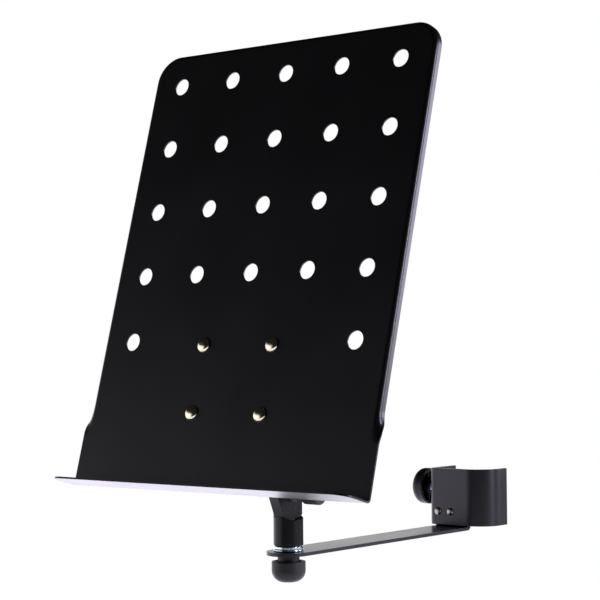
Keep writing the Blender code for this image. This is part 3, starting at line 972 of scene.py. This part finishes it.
@dataclass
class Desk:
    """The folded desk sheet, its rivets and the cast bracket behind it.

    Sizes are in the leaning plate's own frame, whose origin is on the tilt axis.
    """

    lean: float = math.radians(15.75)
    set_back: float = 0.0715
    sheet: float = 0.0012
    width: float = 0.2302
    wing_width: float = 0.2364
    above: float = 0.2804
    below: float = 0.0157
    corner: float = 0.018
    bend: float = 0.003
    flange: float = 0.006
    flange_end: float = 0.0385
    wing_start: float = 0.0178
    wing_steps: int = 24
    rim_steps: int = 16
    shelf: float = 0.023
    shelf_bend: float = 0.0015
    shelf_corner: float = 0.009
    sheet_ease: float = 0.00035
    hole: float = 0.0057
    hole_ease: float = 0.00025
    hole_rows: int = 5
    pitch: float = 0.045
    row_pitch: float = 0.04435
    top_margin: float = 0.0234
    rivet_spread: float = 0.0552
    rivet_low: float = 0.0338
    rivet_step: float = 0.0434
    rivet_hole: float = 0.0025
    ear: float = 0.0076
    ear_half: float = 0.0096
    ear_end: float = 0.0172
    ear_lean: float = math.radians(23)
    shoulder: float = 0.008
    pivot_bore: float = 0.0033
    base: float = 0.0025
    base_margin: float = 0.008
    base_corner: float = 0.006
    cast_ease: float = 0.0005

    def matrix(self) -> Matrix:
        """Return the leaning plate's frame."""
        return Matrix.Translation(joint_place("desk_tilt")) @ Matrix.Rotation(-self.lean, 4, "X")

    def hole_places(self) -> list[Point]:
        """List the holes: full rows, then a last row of the two outer ones.

        Returns:
            The X and Z of each hole.
        """
        places = []
        for row in range(self.hole_rows):
            height = self.above - self.top_margin - row * self.row_pitch
            columns = range(-2, 3) if row < self.hole_rows - 1 else (-2, 2)
            places += [(column * self.pitch, height) for column in columns]
        return places

    def rivet_places(self) -> list[Point]:
        """List the rivets, upper row first, left to right.

        Returns:
            The X and Z of each rivet.
        """
        half = self.rivet_spread / 2
        rows = (self.rivet_low + self.rivet_step, self.rivet_low)
        return [(side * half, height) for height in rows for side in (-1, 1)]

    def stations(self) -> list[tuple]:
        """Follow the right half of the rim, from the shelf up to the top.

        Returns:
            Rows of X, Z, the outward X and Z, the bend's angle and the rim's reach.
        """
        half = self.width / 2 - self.bend
        bottom = -self.below + self.sheet + self.shelf_bend
        wing = self.wing_width / 2 - half
        rim = math.pi / 2 * self.bend + self.flange - self.bend
        rows = [(half, bottom, 1.0, 0.0, 0.0, wing)]
        for step in range(self.wing_steps + 1):
            share = step / self.wing_steps
            height = self.wing_start + (self.flange_end - self.wing_start) * share
            turned = share * share * (3 - 2 * share)
            reach = wing + (rim - wing) * turned
            rows.append((half, height, 1.0, 0.0, turned * math.pi / 2, reach))
        radius = self.corner - self.bend
        centre = (half - radius, self.above - self.bend - radius)
        for x, z in arc(centre, radius, 0, 90, 20):
            outward = ((x - centre[0]) / radius, (z - centre[1]) / radius)
            rows.append((x, z, *outward, math.pi / 2, rim))
        return rows

    def rim_point(self, station: tuple, share: float) -> Vector:
        """Return a point of the bent rim.

        Args:
            station: a row of stations().
            share: how far along the rim's reach the point lies.

        Returns:
            The point in the plate's frame.
        """
        x, z, out_x, out_z, angle, reach = station
        along, bent = reach * share, math.pi / 2 * self.bend
        radius = bent / max(angle, 1e-4)
        turned = min(along, bent) / radius
        straight = max(along - bent, 0.0)
        out = radius * math.sin(turned) + straight * math.cos(turned)
        back = radius * (1 - math.cos(turned)) + straight * math.sin(turned)
        return Vector((x + out_x * out, back - self.set_back, z + out_z * out))

    def shelf_rows(self, bottom: float) -> list[tuple]:
        """Return the shelf's rows, from the fold forward.

        Args:
            bottom: the height at which the fold starts.

        Returns:
            Rows of how much the half width loses, Y and Z.
        """
        fold, corner = self.shelf_bend, self.shelf_corner
        edge = corner - self.set_back - self.shelf
        rows = [(0.0, y, z) for y, z in arc((-self.set_back - fold, bottom), fold, 0, -90, 8)[1:]]
        for y, lost in arc((edge, 0.0), corner, 90, 180, 14):
            rows.append((corner - lost, y, bottom - fold))
        return rows

    def sheet_surface(self) -> Mesh:
        """Grow the desk's front surface outward from its flat face.

        Returns:
            The open surface.
        """
        right = self.stations()
        left = [(-x, z, -out, up, angle, reach) for x, z, out, up, angle, reach in right]
        stations = right + left[::-1]
        bm = bmesh.new()
        ring = [bm.verts.new(self.rim_point(station, 0.0)) for station in stations]
        bm.faces.new(ring)
        ends = [(ring[0], ring[-1])]
        for step in range(1, self.rim_steps + 1):
            ring = self.grow(bm, ring)
            for vert, station in zip(ring, stations):
                vert.co = self.rim_point(station, step / self.rim_steps)
            ends.append((ring[0], ring[-1]))
        row = [pair[1] for pair in ends[::-1]] + [pair[0] for pair in ends]
        base = [vert.co.x for vert in row]
        for lost, y, z in self.shelf_rows(right[0][1]):
            row = self.grow(bm, row)
            for vert, x in zip(row, base):
                vert.co = (x * (1 - 2 * lost / self.wing_width), y, z)
        return bm

    @staticmethod
    def grow(bm: Mesh, row: list) -> list:
        """Extrude the edges along a row of vertices.

        Args:
            bm: the bmesh.
            row: the vertices, in order.

        Returns:
            The new vertices in the same order, still at the old places.
        """
        edges = [bm.edges.get(pair) for pair in zip(row, row[1:])]
        grown = bmesh.ops.extrude_edge_only(bm, edges=edges)["geom"]
        fresh = {tuple(item.co): item for item in only(grown, bmesh.types.BMVert)}
        return [fresh[tuple(vert.co)] for vert in row]

    def punches(self) -> Mesh:
        """Make the punches, whose flared ends ease the rims of the holes that they cut.

        Returns:
            One bmesh with a closed punch at each hole.
        """
        ease, back = self.hole_ease, -self.sheet
        flare = self.hole + 4 * ease
        profile = [(0.0, 4 * ease), (flare, 3 * ease)]
        profile += arc((self.hole + ease, -ease), ease, 90, 180, 3)
        profile += arc((self.hole + ease, back + ease), ease, 180, 270, 3)
        profile += [(flare, back - 3 * ease), (0.0, back - 4 * ease)]
        single = lathe(profile, 48)
        mesh = bpy.data.meshes.new("punch")
        single.to_mesh(mesh)
        single.free()
        together = bmesh.new()
        for x, z in self.hole_places():
            placed = mesh.copy()
            placed.transform(Matrix.Translation((x, -self.set_back, z)) @ Way.FRONT.turn())
            together.from_mesh(placed)
            bpy.data.meshes.remove(placed)
        bpy.data.meshes.remove(mesh)
        return together

    def build_plate(self) -> None:
        """Fold the desk sheet, ease its edges and punch its holes."""
        bm = self.sheet_surface()
        face_towards(bm, 0, (0, -1, 0))
        plate = Piece("desk_sheet", bm, Finish.POWDER, "desk", "desk_plate", self.matrix())
        plate.thicken(self.sheet).ease(self.sheet_ease, 2, 60)
        plate.combine(Joining.CUT, self.punches())
        holes = bmesh.new()
        for x, z in self.rivet_places():
            cylinder(holes, self.rivet_hole, DRILL, (x, -self.set_back, z), Way.FRONT)
        plate.combine(Joining.CUT, holes).done(30)

    def build_rivets(self) -> None:
        """Set the four domed rivets."""
        tail = ((0.0034, GAP), (0.0036, 0.0007), (0.0031, 0.0014), (0.0014, 0.0014),
                (0.0008, 0.0006), (0.0, 0.0004))
        rivet = DomeRivet(radius=0.0048, dome=0.0023, crown=(88, 4, 12), seat=0.00475,
                          shank=0.0022, grip=self.sheet + self.base + GAP, tail=tail, steps=48)
        for number, (x, z) in enumerate(self.rivet_places(), start=1):
            at = self.matrix() @ Matrix.Translation((x, -self.set_back, z))
            rivet.build(f"dome_rivet_{number}", Finish.NICKEL, "desk", f"desk_rivet_{number}", at)

    def levelled(self, points: Sequence[Point]) -> list[Point]:
        """Turn upright offsets from the pivot into the leaning plate's frame.

        Args:
            points: the upright Y and Z of each point.

        Returns:
            The same points in the plate's Y and Z.
        """
        cosine, sine = math.cos(self.lean), math.sin(self.lean)
        return [(y * cosine - z * sine, y * sine + z * cosine) for y, z in points]

    def web_outline(self, inside: float, low: float, high: float) -> list[Point]:
        """Draw the bracket's ear and web from the side.

        Args:
            inside: the Y inside the base where the web ends.
            low: the web's lower end on the base.
            high: its upper end.

        Returns:
            The outline in the plate's Y and Z.
        """
        spread = math.degrees(math.asin(self.ear_half / self.ear_end))
        rise = self.ear_end * math.cos(math.radians(spread))
        ear = arc((0, 0), self.ear_end, -90 - spread, -90 + spread, 20)
        shoulder = arc((self.ear_half - self.shoulder, 0.001), self.shoulder, 0, 70, 10)
        front = [(-self.ear_half - rise * math.tan(self.ear_lean), 0.0)]
        return (self.levelled(ear + shoulder) + [(inside, high), (inside, low)]
                + self.levelled(front))

    def build_bracket(self) -> None:
        """Cast the bracket: an ear on the post, a web, and a base riveted to the desk."""
        back = -self.set_back + self.sheet + GAP
        inside, margin = back + self.base / 2, self.base_margin
        low, high = self.rivet_low - margin, self.rivet_low + self.rivet_step + margin
        outline = self.web_outline(inside, low + margin / 2, high - margin / 2)
        base = block((self.rivet_spread + 2 * margin, self.base, high - low),
                     (0, inside, (low + high) / 2))
        corners = [edge for edge in base.edges
                   if abs(edge.verts[0].co.y - edge.verts[1].co.y) > self.base / 2]
        bmesh.ops.bevel(base, geom=corners, offset=self.base_corner, segments=10, profile=0.5,
                        affect="EDGES", material=-1)
        holes = bmesh.new()
        cylinder(holes, self.pivot_bore, DRILL, (0, 0, 0), Way.RIGHT, 48)
        for x, z in self.rivet_places():
            cylinder(holes, self.rivet_hole, DRILL, (x, back, z), Way.FRONT)
        bracket = Piece("cast_bracket", extruded(outline, -self.ear / 2, self.ear / 2),
                        Finish.CAST, "desk", "tilt_bracket", self.matrix())
        bracket.combine(Joining.WELD, base).ease(self.cast_ease, 3, 35)
        bracket.combine(Joining.CUT, holes).done(35)

    def build(self) -> None:
        """Build the desk, its bracket and its rivets."""
        self.build_plate()
        self.build_bracket()
        self.build_rivets()


@dataclass
class Clamp:
    """The clamp bracket with its screw, bush, pad and knob."""

    sheet: float = 0.003
    bend: float = 0.018
    corner: float = 0.005
    free_leg: float = 0.0095
    sheet_ease: float = 0.0004
    rivet_hole: float = 0.0019
    bush_hole: float = 0.0063
    bush_seat: float = -0.0345
    bush_flange: float = 0.0085
    bush_sleeve: float = 0.006
    bush_bore: float = 0.0043
    screw: float = 0.004
    tip: float = 0.0024
    tip_length: float = 0.002
    tip_ease: float = 0.0004
    pad: float = 0.007
    pad_ease: float = 0.0012
    pad_socket: float = 0.0027
    knob: float = 0.013
    knob_depth: float = 0.010
    knob_hub: float = 0.0065
    knob_neck: float = 0.002

    def build_bracket(self) -> None:
        """Bend the clamp's sheet: back leg, near plate, wide bend and free leg."""
        low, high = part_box("clamp_bracket")
        left, right, front, back = low[0], high[0], low[1], high[1]
        corner = (left + self.corner, front + self.corner, 0.0)
        bend = (right - self.bend, front + self.bend, 0.0)
        strip = Ribbon((left, back, low[2]), (left, back, high[2]))
        strip.straight((0, corner[1] - back, 0)).bend(corner, (0, 0, 1), 14)
        strip.straight((bend[0] - corner[0], 0, 0)).bend(bend, (0, 0, 1), 36)
        strip.straight((0, self.free_leg - bend[1], 0))
        face_towards(strip.bm, 0, (-1, 0, 0))
        holes = bmesh.new()
        for place in (middle("arm_rivet_1"), middle("arm_rivet_2")):
            cylinder(holes, self.rivet_hole, DRILL, (place.x, front, place.z), Way.FRONT)
        axis = middle("clamp_screw").z
        cylinder(holes, self.bush_hole, DRILL, (left, 0.0, axis), Way.RIGHT, 48)
        bracket = Piece("clamp_strap", strip.bm, Finish.POWDER, "arm", "clamp_bracket")
        bracket.thicken(self.sheet).ease(self.sheet_ease, 3, 50)
        bracket.combine(Joining.CUT, holes).done(35)

    def build_bush(self) -> None:
        """Turn the bush that carries the clamp screw."""
        low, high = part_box("clamp_bush")
        bore, sleeve = self.bush_bore, self.bush_sleeve
        seat, flange = self.bush_seat, self.bush_flange
        outline = [(bore, low[0]), (bore, high[0]), (sleeve, high[0]), (sleeve, seat),
                   (flange, seat), (flange, low[0]), (bore, low[0])]
        turned = lathe(softened(outline, 0.0004, 2), 64)
        Piece("screw_bush", turned, Finish.ZINC, "arm", "clamp_bush",
              laid(0.0, middle("clamp_bush").z)).done()

    def build_screw(self) -> None:
        """Turn the threaded clamp screw with its plain tip."""
        low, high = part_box("clamp_screw")
        end, ease = high[0], self.tip_ease
        shoulder = end - self.tip_length
        tip = [(0.0, end), (self.tip - ease, end), (self.tip, end - ease), (self.tip, shoulder)]
        Screw(self.screw).build("clamp_thread", "clamp_lock", "clamp_screw",
                                laid(0.0, middle("clamp_screw").z), low[0], shoulder, tip)

    def build_pad(self) -> None:
        """Mould the pad that presses on the pole."""
        low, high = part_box("clamp_pad")
        floor = low[0] + self.tip_length
        outline = [(0.0, high[0]), (self.pad - self.pad_ease, high[0]),
                   (self.pad, high[0] - self.pad_ease), (self.pad, low[0]),
                   (self.pad_socket, low[0]), (self.pad_socket, floor), (0.0, floor)]
        turned = lathe(softened(outline, 0.0006), 64)
        Piece("pole_pad", turned, Finish.RUBBER, "pad", "clamp_pad",
              laid(0.0, middle("clamp_pad").z)).done()

    def build(self) -> None:
        """Build the clamp."""
        self.build_bracket()
        self.build_bush()
        self.build_screw()
        self.build_pad()
        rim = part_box("clamp_knob")[1][0] - self.knob_neck
        at = Matrix.Translation((rim, 0, middle("clamp_knob").z)) @ Way.RIGHT.turn()
        CupKnob(self.knob, self.knob_depth, self.knob_hub, self.knob_neck).build(
            "clamp_cup_knob", "clamp_lock", "clamp_knob", at)


@dataclass
class Arm:
    """The flat arm, its rivets and the washers on its round end."""

    sheet: float = 0.0023
    bend: float = 0.001
    tab_corner: float = 0.004
    sheet_ease: float = 0.0004
    rivet_hole: float = 0.0019
    rivet_head: float = 0.0016
    rivet_grip: float = 0.0056
    screw_bore: float = 0.0043
    washer_ease: float = 0.00045
    spring_ease: float = 0.00025
    split_width: float = 0.0008
    split_lean: float = math.radians(35)
    split_turn: float = math.radians(200)

    def build_strip(self) -> None:
        """Bend the arm: round end, long flat and a tab inside the clamp."""
        low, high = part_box("arm_strip")
        half, centre = (high[0] - low[0]) / 2, (low[0] + high[0]) / 2
        top, tab = low[2] + self.sheet, high[1] - self.sheet
        strip = Ribbon((high[0], low[1], top), (low[0], low[1], top))
        strip.straight((0, tab - self.bend - low[1], 0))
        strip.bend((centre, tab - self.bend, top + self.bend), (1, 0, 0), 8)
        strip.straight((0, 0, high[2] - top - self.bend))
        bmesh.ops.remove_doubles(strip.bm, verts=strip.bm.verts, dist=MERGE)
        tips = [vert for edge in strip.edges for vert in edge.verts]
        strip.round_corners(tips, self.tab_corner, 8)
        ends = [vert for vert in strip.bm.verts if abs(vert.co.y - low[1]) < MERGE / 2]
        strip.round_corners(ends, half * 0.9999, 28)
        areas = [face.calc_area() for face in strip.bm.faces]
        face_towards(strip.bm, areas.index(max(areas)), (0, 0, 1))
        holes = bmesh.new()
        post = joint_place("desk_swivel")
        cylinder(holes, self.screw_bore, DRILL, (post.x, post.y, top), Way.UP, 48)
        for place in (middle("arm_rivet_1"), middle("arm_rivet_2")):
            cylinder(holes, self.rivet_hole, DRILL, (place.x, tab, place.z), Way.FRONT)
        arm = Piece("flat_arm", strip.bm, Finish.POWDER, "arm", "arm_strip")
        arm.thicken(self.sheet).ease(self.sheet_ease, 3, 50)
        arm.combine(Joining.CUT, holes).done(35)

    def build_rivets(self) -> None:
        """Set the two small domed rivets that hold the arm."""
        rivet = DomeRivet(radius=0.0027, dome=0.0013, crown=(87, 5, 10), seat=0.0026,
                          shank=0.0016, grip=self.rivet_grip, steps=40,
                          tail=((0.0023, GAP), (0.0022, 0.0007), (0.0, 0.0008)))
        for number in (1, 2):
            node = f"arm_rivet_{number}"
            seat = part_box(node)[0][1] + self.rivet_head
            at = Matrix.Translation((middle(node).x, seat, middle(node).z))
            rivet.build(f"arm_dome_rivet_{number}", Finish.BLACKENED, "arm", node, at)

    def build_washers(self) -> None:
        """Turn the flat washer and the split spring washer under the post."""
        for node, ease in (("flat_washer", self.washer_ease), ("spring_washer", self.spring_ease)):
            low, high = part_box(node)
            outer = (high[0] - low[0]) / 2
            outline = softened(ring_outline(self.screw_bore, outer, low[2], high[2]), ease)
            washer = Piece(node + "_ring", lathe(outline), Finish.ZINC, "arm", node,
                           upright("flat_washer"))
            if node == "spring_washer":
                washer.combine(Joining.CUT, self.split(outer, low[2], high[2]))
            washer.done()

    def split(self, outer: float, low: float, high: float) -> Mesh:
        """Make the slanted slot that splits a spring washer.

        Args:
            outer: the washer's radius.
            low: its lower face.
            high: its upper face.

        Returns:
            The slot's closed body.
        """
        slot = block((outer, self.split_width, 3 * (high - low)), (0, 0, 0))
        place = Matrix.Translation((outer * 0.75, 0, (low + high) / 2))
        turn = Matrix.Rotation(self.split_turn, 4, "Z")
        bmesh.ops.transform(slot, matrix=turn @ place @ Matrix.Rotation(self.split_lean, 4, "X"),
                            verts=slot.verts)
        return slot

    def build(self) -> None:
        """Build the arm."""
        self.build_strip()
        self.build_rivets()
        self.build_washers()


@dataclass
class Joint:
    """The post with its inserts, and the screws and knobs of the swivel and the tilt."""

    radius: float = 0.0095
    saddle: float = 0.0175
    cheek: float = -0.005
    foot_ease: float = 0.0011
    cast_ease: float = 0.0005
    insert_hole: float = 0.0066
    insert_depth: float = 0.0113
    cheek_hole: float = 0.0051
    swivel_screw: float = 0.004
    swivel_bore: float = 0.0043
    tilt_screw: float = 0.003
    tilt_pitch: float = 0.001
    tilt_bore: float = 0.0033
    ring_ease: float = 0.00025
    cup: float = 0.0108
    cup_depth: float = 0.0132
    cup_hub: float = 0.007
    cup_neck: float = 0.0036
    cup_bore_depth: float = 0.007
    grip: float = 0.0067
    grip_neck: float = 0.004
    grip_length: float = 0.0115
    grip_bore_end: float = 0.005
    groove: float = 0.0009
    groove_length: float = 0.0085
    grooves: int = 12

    def build_post(self) -> None:
        """Turn the post, cut the saddle and round the cheek's crown."""
        low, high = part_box("post")
        pivot = joint_place("desk_tilt").z
        radius, reach = self.radius, 3 * self.radius
        outline = [(0.0, high[2]), (radius, high[2]), (radius, low[2]), (0.0, low[2])]
        saddle = bmesh.new()
        cylinder(saddle, self.saddle, reach, (self.cheek + reach / 2, 0, pivot), Way.RIGHT, 160)
        crown = arc((0.0, pivot), radius, 0, 180, 32)
        above = [(-reach, pivot), (-reach, pivot + reach), (reach, pivot + reach), (reach, pivot)]
        bores = bmesh.new()
        cylinder(bores, self.insert_hole, 2 * self.insert_depth, (0, 0, low[2]), Way.UP, 48)
        cylinder(bores, self.cheek_hole, 4 * radius, (0, 0, pivot), Way.RIGHT, 48)
        turned = lathe(softened(outline, self.foot_ease), 128)
        post = Piece("tilt_post", turned, Finish.CAST, "post", "post", upright("post"))
        post.combine(Joining.CUT, saddle, extruded(crown + above, -reach, reach))
        post.ease(self.cast_ease, 3, 30).combine(Joining.CUT, bores).done(30)

    def build_rings(self) -> None:
        """Turn the two brass inserts and the washers of the tilt screw."""
        low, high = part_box("post_insert")
        foot = ring_outline(self.swivel_bore, (high[0] - low[0]) / 2, low[2], high[2])
        self.ring("foot_insert", "post_insert", Finish.BRASS, "post", foot, upright("post"))
        for name, node, finish, body in (
                ("cheek_insert", "tilt_insert", Finish.BRASS, "post"),
                ("friction_disc", "friction_washer", Finish.RUBBER, "post"),
                ("knob_washer", "tilt_washer", Finish.RUBBER, "tilt_lock")):
            low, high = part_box(node)
            outline = ring_outline(self.tilt_bore, (high[2] - low[2]) / 2, low[0], high[0])
            self.ring(name, node, finish, body, outline, laid(middle(node).y, middle(node).z))

    def ring(self, name: str, node: str, finish: Finish, body: str, outline: Sequence[Point],
             at: Matrix) -> None:
        """Turn one ring.

        Args:
            name: the piece's name.
            node: the node that it stands for.
            finish: its finish.
            body: the body that it rides on.
            outline: its profile.
            at: where its axis lies.
        """
        turned = lathe(softened(outline, self.ring_ease, 3), 64)
        Piece(name, turned, finish, body, node, at).done()

    def build_swivel_lock(self) -> None:
        """Turn the swivel screw and mould its cup knob."""
        low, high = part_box("swivel_screw")
        Screw(self.swivel_screw).build("swivel_thread", "swivel_lock", "swivel_screw",
                                       upright("post"), low[2], high[2])
        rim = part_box("swivel_knob")[1][2] - self.cup_neck
        CupKnob(self.cup, self.cup_depth, self.cup_hub, self.cup_neck, self.cup_bore_depth).build(
            "swivel_cup_knob", "swivel_lock", "swivel_knob",
            upright("post") @ Matrix.Translation((0, 0, rim)))

    def build_tilt_lock(self) -> None:
        """Turn the tilt screw and mould its grooved knob."""
        place = joint_place("desk_tilt")
        low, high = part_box("tilt_screw")
        at = laid(place.y, place.z)
        Screw(self.tilt_screw, self.tilt_pitch, 40).build("tilt_thread", "tilt_lock", "tilt_screw",
                                                          at, low[0], high[0])
        low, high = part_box("tilt_knob")
        end, head, bore_end = high[0], high[0] - self.grip_length, high[0] - self.grip_bore_end
        dished = end - 0.0005
        outline = [(0.0, dished), (self.grip - 0.003, dished), (self.grip - 0.002, end),
                   (self.grip, end), (self.grip, head), (self.grip_neck, head),
                   (self.grip_neck, low[0]), (self.tilt_bore, low[0]),
                   (self.tilt_bore, bore_end), (0.0, bore_end)]
        knob = Piece("tilt_grip_knob", lathe(softened(outline, 0.0009)), Finish.PLASTIC,
                     "tilt_lock", "tilt_knob", at)
        out = self.grip + 0.0005
        for number in range(self.grooves):
            angle = 2 * math.pi * number / self.grooves
            groove = bmesh.new()
            centre = (out * math.cos(angle), out * math.sin(angle), head + 0.003)
            cylinder(groove, self.groove, self.groove_length, centre, Way.UP, 16)
            knob.combine(Joining.CUT, groove)
        knob.done(38)

    def build(self) -> None:
        """Build the post and both locks."""
        self.build_post()
        self.build_rings()
        self.build_swivel_lock()
        self.build_tilt_lock()


# Studio

@dataclass(frozen=True)
class Softbox:
    """A soft area light.

    Args:
        name: the light's name.
        place: where it hangs.
        size: its width and height.
        power: its power in watts.
        colour: its colour.
        aim: the point that it looks at.
    """

    name: str
    place: tuple
    size: Point
    power: float
    colour: tuple
    aim: tuple = (0.1, -0.2, 0.15)

    def build(self) -> None:
        """Hang the light."""
        data = bpy.data.lights.new(self.name, "AREA")
        data.shape = "RECTANGLE"
        data.size, data.size_y = self.size
        data.energy = self.power
        data.color = self.colour
        light = bpy.data.objects.new(self.name, data)
        light.location = self.place
        look = Vector(self.aim) - Vector(self.place)
        light.rotation_euler = look.to_track_quat("-Z", "Y").to_euler()
        bpy.context.scene.collection.objects.link(light)


@dataclass
class Studio:
    """The pale floor, soft lights and camera."""

    eye: tuple = (0.6873, -1.05731, 0.1093)
    forward: tuple = (-0.62783, 0.77792, 0.02585)
    up: tuple = (0.02257, -0.015, 0.99963)
    lens: float = 104.76
    floor_height: float = -0.28
    floor_radius: float = 1.6
    floor_glow: tuple = (1.05, 1.05, 1.05, 1)
    # painted pool of light: the floor glows brighter round this patch, low behind on the left
    patch: Point = (-0.64, 0.36)
    patch_glow: tuple = (2.7, 2.55, 2.95, 1)
    patch_core: float = 0.25
    patch_edge: float = 0.75
    sweep_power: float = 1.7
    dark: float = 0.012
    softboxes: tuple = (
        Softbox("side_softbox", (0.98, 1.05, 0.44), (0.5, 0.85), 12.0, (0.90, 0.88, 1.0)),
        Softbox("rim_softbox", (1.5, 0.15, 0.5), (0.3, 0.9), 16.0, (0.93, 0.94, 1.0)))

    def build_floor(self) -> None:
        """Lay a plain pale floor far below the clamp, glowing evenly, with a painted pool of light
        where it glows brighter at one patch.
        """
        bm = bmesh.new()
        bmesh.ops.create_circle(bm, cap_ends=True, segments=96, radius=self.floor_radius)
        bmesh.ops.translate(bm, vec=(0, 0, self.floor_height), verts=bm.verts)
        floor = Piece.link("floor", bm)
        graph = Graph(bpy.data.materials.new("pale_floor"))
        where = graph.place()
        reach = graph.node("ShaderNodeVectorMath", {"operation": "DISTANCE"},
                           {0: where, 1: (*self.patch, self.floor_height)}, "Value")
        # painted pool of light: the floor's glow rises from floor_glow to the brighter patch_glow
        # near the patch
        painted_light_pool = graph.remap(reach, self.patch_edge, self.patch_core)
        graph.set(base_color=graph.blend(graph.noise(where, 0.8), rgba((0.86, 0.86, 0.86)),
                                         rgba((0.9, 0.9, 0.9))),
                  roughness=0.9, emission_strength=1.0,
                  emission_color=graph.blend(painted_light_pool, self.floor_glow, self.patch_glow))
        floor.data.materials.append(graph.owner)

    def build_world(self) -> None:
        """Surround the scene with white, reflected only from low on the left."""
        world = bpy.data.worlds.new("studio")
        bpy.context.scene.world = world
        graph = Graph(world)
        way = graph.node("ShaderNodeTexCoord", output="Generated")
        height = graph.node("ShaderNodeSeparateXYZ", None, {0: way}, "Z")
        side = graph.node("ShaderNodeSeparateXYZ", None, {0: way}, "X")
        low = graph.remap(height, 0.34, 0.10, "SMOOTHSTEP")
        left = graph.remap(side, -0.05, -0.6, "SMOOTHSTEP")
        seen = graph.node("ShaderNodeLightPath", output="Is Camera Ray")
        sweep = low * left * self.sweep_power + self.dark
        graph.set(strength=seen + (1 - seen) * sweep, color=rgba((1.0, 1.0, 1.0)))

    def build_camera(self) -> None:
        """Set the camera."""
        data = bpy.data.cameras.new("camera")
        data.lens = self.lens
        camera = bpy.data.objects.new("camera", data)
        forward = Vector(self.forward).normalized()
        right = forward.cross(Vector(self.up)).normalized()
        turn = Matrix((right, right.cross(forward), -forward)).transposed().to_4x4()
        camera.matrix_world = Matrix.Translation(self.eye) @ turn
        bpy.context.scene.collection.objects.link(camera)
        bpy.context.scene.camera = camera

    def build(self) -> None:
        """Build the studio."""
        self.build_floor()
        self.build_world()
        self.build_camera()
        for softbox in self.softboxes:
            softbox.build()
        bpy.context.scene.view_settings.view_transform = "Standard"


def main() -> None:
    """Build the studio and every piece of the desk."""
    logging.basicConfig(level=logging.INFO, format="%(message)s")
    for assembly in (Studio(), Desk(), Joint(), Arm(), Clamp()):
        assembly.build()


if __name__ == "__main__":
    main()
